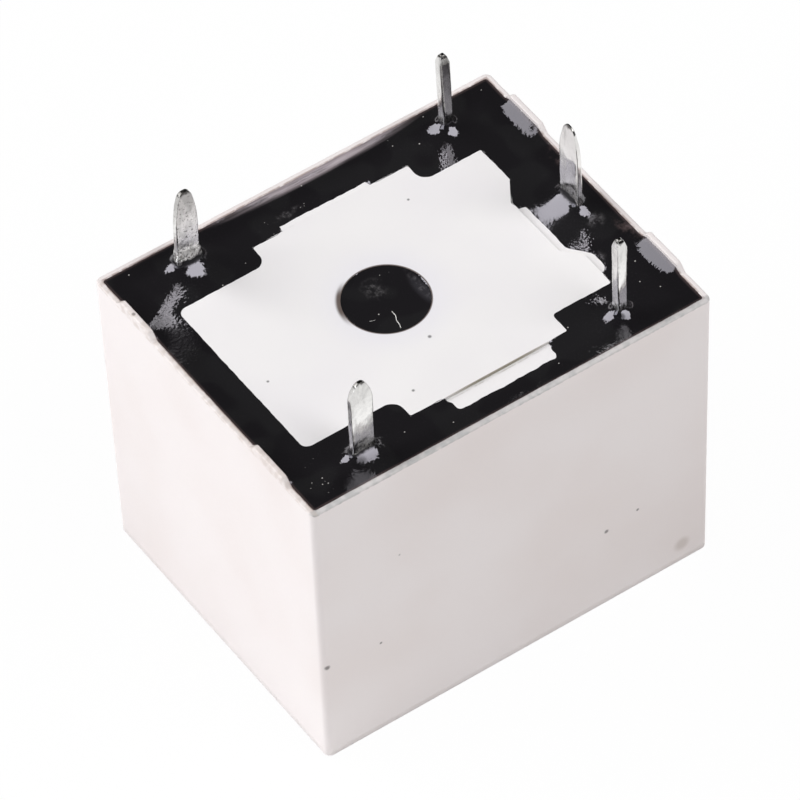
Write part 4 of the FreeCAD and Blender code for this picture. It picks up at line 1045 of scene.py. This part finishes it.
    def reach_at(self, flat, feet, at_tab, sealant):
        """How far the skin's rise reaches: far at most walls, and less at the pins."""
        x, y = flat.T
        off = np.array([distance_to(flat, foot) for foot in feet.values()])
        beside_pin = 0.7
        near = np.exp(-(off / beside_pin) ** 2)
        wider = np.array([self.wider.get(pin, 1.0) for pin in feet])[near.argmax(0)]
        at_pin = near.max(0)
        far_wall = smooth_step(-5.2, -4.2, x) * smooth_step(5.8, 4.8, x) * smooth_step(6.2, 6.9, y)
        right_tab = smooth_step(7.4, 8.4, x) * at_tab
        steep = np.maximum(at_pin, 1.1 * np.maximum(far_wall, right_tab))
        reach = (sealant.wall_reach * (1 - steep) + sealant.reach * steep * wider) / MM
        left_end = smooth_step(-6.6, -7.2, x) * (1 - at_pin)
        mound = smooth_step(6.2, 6.5, x) * smooth_step(8.6, 8.2, x) * smooth_step(1.6, 1.1, abs(y))
        reach = reach + (sealant.mound / MM - reach) * mound
        return reach + (sealant.drift / MM - reach) * left_end

    def make_plug(self, black):
        """The sealant over the core's staked end, dished in its middle."""
        low, high = box_of("sealant_plug")
        radius = (high[0] - low[0]) / 2
        middle = at_height((low + high)[None, :2] / 2)
        dish, turns = 0.07, 96
        # Rings towards the middle: their share of the radius, and how far into the dish they lie
        shares = [(1.0, 0.15), (0.97, 0.45), (0.92, 0.72), (0.85, 0.88), (0.75, 0.97), (0.5, 1.0)]
        rings = [circle(radius, low[2], turns) + middle]
        rings += [circle(radius * share, PLATEAU_TOP - dish * sunk, turns) + middle
                  for share, sunk in shares]
        plug = new_piece("sealant_plug_skin", *loft(rings), black, sharp=60)
        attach(plug, STILL)
        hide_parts("sealant_plug")

    def make_lint(self):
        """Two fine fibres that lie on the plug."""
        look = Surface("lint", (0.75, 0.73, 0.7, 1), Roughness=0.7)
        look.paint(look.noise(4.0), (0.9, 0.88, 0.85))
        top = PLATEAU_TOP - 0.06
        long_fibre = [(-0.85, -0.51), (-0.86, -0.78), (-0.98, -1.02), (-1.0, -1.25), (-1.07, -1.44)]
        short_fibre = [(-1.85, -0.42), (-1.74, -0.48), (-1.62, -0.5)]
        points, faces = [], []
        for thick, fibre in ((0.016, long_fibre), (0.01, short_fibre)):
            across = np.array([[thick, 0, 0], [0, 0, thick], [-thick, 0, 0], [0, 0, -thick]])
            found, joined = loft([np.array([x, y, top]) + across for x, y in fibre])
            faces += [tuple(i + len(points) for i in face) for face in joined]
            points += list(found)
        lint = new_piece("lint", points, faces, look.finish())
        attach(lint, STILL)


class RELAY_OT_pins(RelayOperator, bpy.types.Operator):
    """Build the pins' tinned ends, with their tapers, lumps and crusted feet"""
    bl_idname = "relay.pins"
    bl_label = "Pins"
    joined = 14.2                           # height where the finished ends begin, in the sealant
    foot = 15.18                            # height where they leave it
    step = 0.05

    def build(self, scene):
        pins = scene.relay_pins
        smooth = make_tin("tinned_smooth", pins, scale=1.6, roughness=0.14, pitted=0.16, bump=0.25,
                          tip_at=PIN_TIP + 0.2)
        rough = make_tin("tinned_rough", pins, scale=2.6, roughness=0.24, pitted=0.3, bump=0.8,
                         wrinkled=1.0, shade=0.7)
        mottled = make_tin("tinned_mottled", pins, scale=2.0, roughness=0.13, pitted=0.18, bump=0.4)
        middle, half = foot_of("coil_pin_a")
        soot = (middle[0] + 0.1, middle[1] - half[1] - 0.12, PIN_TIP - 1.0)
        sooty = make_tin("tinned_sooty", pins, scale=3.0, roughness=0.16, pitted=0.2, bump=0.5, soot=soot)
        self.make_pin("terminal_no", rough, self.blade(1.85, 6.7, 0.16), pins, crusted=1.0)
        self.make_pin("terminal_nc", mottled, self.blade(1.05, 1.75, 0.1), pins, crusted=0.4)
        self.make_pin("terminal_common", smooth, self.blade(1.85, 5.2, 0.22, 0.25), pins, crusted=0.25,
                      thinner=0.8, higher=0.2)
        self.make_pin("coil_pin_a", sooty, self.point, pins, crusted=0.15)
        self.make_pin("coil_pin_b", mottled, self.point, pins, crusted=0.25)

    def blade(self, length, bow, end, coined=0.2):
        """Half sides of a flat pin by the depth below its tip."""
        def sides(depth, wide, thin):
            over = max(length - depth, 0)
            taper = bow - math.sqrt(bow ** 2 - over ** 2)
            near_end = max(1 - depth / (1.6 * end), 0)
            round_off = 1 - math.sqrt(1 - min(near_end, 0.98) ** 2)
            return wide - taper - end * round_off, thin - coined * taper - 0.1 * thin * round_off
        return sides

    def point(self, depth, wide, thin):
        """A square pin's half sides near its pointed end."""
        taper = 0.11 * max(1 - depth / 0.4, 0) + 0.05 * max(1 - depth / 0.1, 0)
        return wide - taper, thin - taper

    def make_pin(self, node, material, sides, pins, crusted, thinner=1.0, higher=0.0):
        """A pin's finished end, lumpy at its foot and tapered, on its packed lower part."""
        middle, half = foot_of(node)
        tip = PIN_TIP + higher
        turned = half[1] > half[0]
        wide, thin = max(half), min(half) * thinner
        overlap, tip_zone = 0.1, 0.5
        depths = tip - np.arange(self.joined - overlap, tip - tip_zone, self.step)
        tip_depths = np.linspace(tip_zone - 0.02, 0.0, 18)
        rings = []
        for depth in [*depths, *tip_depths]:
            long_side, short_side = sides(depth, wide, thin)
            ring = section(long_side, short_side, radius=0.35 * short_side, across=7)
            if turned:
                ring = ring[:, ::-1] * np.array([-1, 1])
            rings.append(at_height(ring, tip - depth))
        points, faces = loft(rings)
        outward = np.tile(at_height(-sideways(rings[0][:, :2])), (len(rings), 1))
        places = points + np.array([*middle, 0])
        narrow = np.array([1, 1, 0.5])
        lumps = wander(places * narrow, 2.6, 5) + 0.5 * wander(places * narrow, 7.0, 6)
        crust = np.maximum(wander(places, 4.5, 7) + 0.6 * wander(places, 11.0, 8) + 0.35, 0)
        foot = self.foot + 0.4 * crusted
        near_foot = smooth_step(foot + 0.5, foot - 0.1, points[:, 2]) * crusted
        push = (pins.lumps * lumps + pins.crust * near_foot * (0.8 + crust)) / MM
        near_tip = smooth_step(tip - 0.12, tip, points[:, 2])
        points = places + outward * (push * (1 - 0.7 * near_tip))[:, None]
        points[:, 2] = np.minimum(points[:, 2], tip)
        lean = np.array(TIP_SHIFT[node]) - np.array(FOOT_SHIFT[node])
        share = np.clip((points[:, 2] - self.foot) / (tip - self.foot), 0, 1)
        points[:, :2] += share[:, None] * lean
        pin = new_piece(node + "_finished", points, faces, material, sharp=60)
        self.add_lower_part(pin, node)
        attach(pin, STILL)
        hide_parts(node)

    def add_lower_part(self, pin, node):
        """Join the packed terminal's part below the sealant to the pin's end."""
        lower = shape_of(node)
        rim = cut(lower, (0, 0, self.joined * MM), (0, 0, 1), clear_outer=True)
        edges = [part for part in rim if isinstance(part, bmesh.types.BMEdge)]
        bmesh.ops.holes_fill(lower, edges=edges)
        for face in lower.faces:
            face.material_index = 0
            face.smooth = False
        mesh = write(lower, bpy.data.meshes.new(node + "_lower"))
        both = bmesh.new()
        both.from_mesh(pin.data)
        both.from_mesh(mesh)
        write(both, pin.data, "custom_normal")
        bpy.data.meshes.remove(mesh)


class RELAY_OT_mechanism(RelayOperator, bpy.types.Operator):
    """Finish what is sealed inside"""
    bl_idname = "relay.mechanism"
    bl_label = "Mechanism"

    def build(self, scene):
        iron = make_sheet_metal("magnet_iron", (0.56, 0.55, 0.53), 0.3, 3.0)
        silver = make_sheet_metal("contact_silver", (0.86, 0.85, 0.82), 0.25, 6.0)
        bronze = make_sheet_metal("spring_bronze", (0.80, 0.55, 0.35), 0.28, 4.0)
        brass = make_sheet_metal("rivet_metal", (0.80, 0.66, 0.40), 0.3, 5.0)
        copper = make_copper_wire()
        finishes = {
            "core": iron, "yoke": iron, "armature": iron,
            "contact_no": silver, "contact_nc": silver, "moving_contact": silver,
            "contact_spring": bronze, "coil_winding": copper,
            "yoke_rivet_a": brass, "yoke_rivet_b": brass,
            "armature_rivet_a": brass, "armature_rivet_b": brass,
            "bobbin": make_bobbin_plastic(),
        }
        for node, material in finishes.items():
            coat(NODES[node].data, material)
        self.make_leaf(bronze)

    def make_leaf(self, bronze):
        """The leaf spring, cut across into strips between the yoke's rivets and the armature, where the
        real spring bends.
        """
        shape = shape_of("contact_spring")
        yoke_side, armature_side = np.array([6.3, 0.0, 4.3]) * MM, np.array([5.5, 0.0, 2.6]) * MM
        along = armature_side - yoke_side
        for share in np.linspace(-0.02, 1.02, 14):
            cut(shape, yoke_side + share * along, along)
        for face in shape.faces:
            face.smooth = False
        mesh = write(shape, bpy.data.meshes.new("contact_spring_leaf"), "custom_normal")
        leaf = add_piece("contact_spring_leaf", mesh, bronze)
        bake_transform(leaf)
        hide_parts("contact_spring")


class RELAY_OT_stage(RelayOperator, bpy.types.Operator):
    """Set up the camera, the lamps and the floor"""
    bl_idname = "relay.stage"
    bl_label = "Stage"
    # In metres
    lamp_distance = 0.45
    floor_radius = 1.0

    def build(self, scene):
        studio = scene.relay_studio
        self.make_camera(scene, studio)
        self.make_lamp("left_lamp", (-0.55, 0.55, 0.62), 0.36, studio.left_lamp)
        self.make_lamp("right_lamp", (0.36, -0.5, 0.78), 0.32, studio.right_lamp)
        self.make_lamp("side_lamp", (-0.95, -0.1, 0.3), 0.3, studio.side_lamp, cool=0.04)
        self.make_floor()
        self.make_world(scene, studio)
        scene.view_settings.view_transform = "Standard"

    def make_camera(self, scene, studio):
        """The camera, turned round the object and aimed beside its origin."""
        turn, rise, roll = studio.azimuth, studio.elevation, studio.roll
        back = Vector((math.sin(turn) * math.cos(rise), -math.cos(turn) * math.cos(rise), math.sin(rise)))
        level = Vector((math.cos(turn), math.sin(turn), 0))
        upright = back.cross(level)
        right = math.cos(roll) * level + math.sin(roll) * upright
        up = math.cos(roll) * upright - math.sin(roll) * level
        data = bpy.data.cameras.new("camera")
        data.lens = studio.lens
        data.sensor_width = 36
        data.clip_start, data.clip_end = 0.01, 10
        camera = bpy.data.objects.new("camera", data)
        camera.matrix_world = Matrix.Translation(
            back * studio.distance - right * studio.aim_right - up * studio.aim_up
        ) @ Matrix((right, up, back)).transposed().to_4x4()
        scene.collection.objects.link(camera)
        scene.camera = camera

    def make_lamp(self, name, direction, side, radiance, cool=0.0):
        """A square soft lamp that faces the object."""
        data = bpy.data.lights.new(name, "AREA")
        data.color = (1 - cool, 1 - cool / 2, 1)
        data.shape = "SQUARE"
        data.size = side
        data.energy = radiance * math.pi * side ** 2
        lamp = bpy.data.objects.new(name, data)
        towards = Vector(direction).normalized()
        lamp.location = towards * self.lamp_distance
        lamp.rotation_mode = "QUATERNION"
        lamp.rotation_quaternion = towards.to_track_quat("Z", "Y")
        lamp.visible_camera = False
        bpy.context.scene.collection.objects.link(lamp)

    def make_floor(self):
        """A flat floor, which the camera and the object's reflections see white."""
        material = bpy.data.materials.new("floor")
        material.use_nodes = True
        material.node_tree.nodes.clear()
        look = Shading(material.node_tree)
        plain = look.add("BsdfDiffuse", {"Color": [0.85, 0.85, 0.85, 1]})[0]
        white = look.add("Emission", {"Color": [1, 1, 1, 1], "Strength": 1.0})[0]
        path = look.add("LightPath")
        seen = look.most(path["Is Glossy Ray"], path["Is Transmission Ray"], path["Is Camera Ray"])
        mixed = look.add("MixShader", {0: look.times(seen, 0.97), 1: plain, 2: white})[0]
        look.add("OutputMaterial", {"Surface": mixed})
        points = circle(self.floor_radius / MM, 0.0, 128)
        floor = new_piece("floor", points, [tuple(range(len(points)))], material)

    def make_world(self, scene, studio):
        """Dim light from all round. The camera sees the world white."""
        world = bpy.data.worlds.new("studio")
        world.use_nodes = True
        look = Shading(world.node_tree)
        background = look.tree.nodes["Background"].inputs
        look.lead([1, 1, 1, 1], background["Color"])
        seen = look.add("LightPath")["Is Camera Ray"]
        strength = look.add("Mix", {0: seen, 2: studio.ambient, 3: 1.0}, data_type="FLOAT")[0]
        look.lead(strength, background["Strength"])
        scene.world = world


class VIEW3D_PT_relay(bpy.types.Panel):
    """The relay's operators and values"""
    bl_label = "Relay"
    bl_space_type = "VIEW_3D"
    bl_region_type = "UI"
    bl_category = "Relay"

    def draw(self, context):
        for operator in OPERATORS:
            self.layout.operator(operator.bl_idname)
        for name, group in GROUPS.items():
            box = self.layout.box()
            box.label(text=group.__doc__)
            for value in group.__annotations__:
                box.prop(getattr(context.scene, name), value)


OPERATORS = [RELAY_OT_effects, RELAY_OT_shell, RELAY_OT_sealant, RELAY_OT_pins, RELAY_OT_mechanism,
             RELAY_OT_stage]


def register():
    for group in GROUPS.values():
        bpy.utils.register_class(group)
    for name, group in GROUPS.items():
        setattr(bpy.types.Scene, name, PointerProperty(type=group))
    for made in [*OPERATORS, VIEW3D_PT_relay]:
        bpy.utils.register_class(made)


def unregister():
    for made in reversed([*OPERATORS, VIEW3D_PT_relay]):
        bpy.utils.unregister_class(made)
    for name, group in GROUPS.items():
        delattr(bpy.types.Scene, name)
        bpy.utils.unregister_class(group)


def main():
    register()
    bpy.ops.relay.effects()
    bpy.ops.relay.shell()
    bpy.ops.relay.sealant()
    bpy.ops.relay.pins()
    bpy.ops.relay.mechanism()
    bpy.ops.relay.stage()


if __name__ == "__main__":
    main()
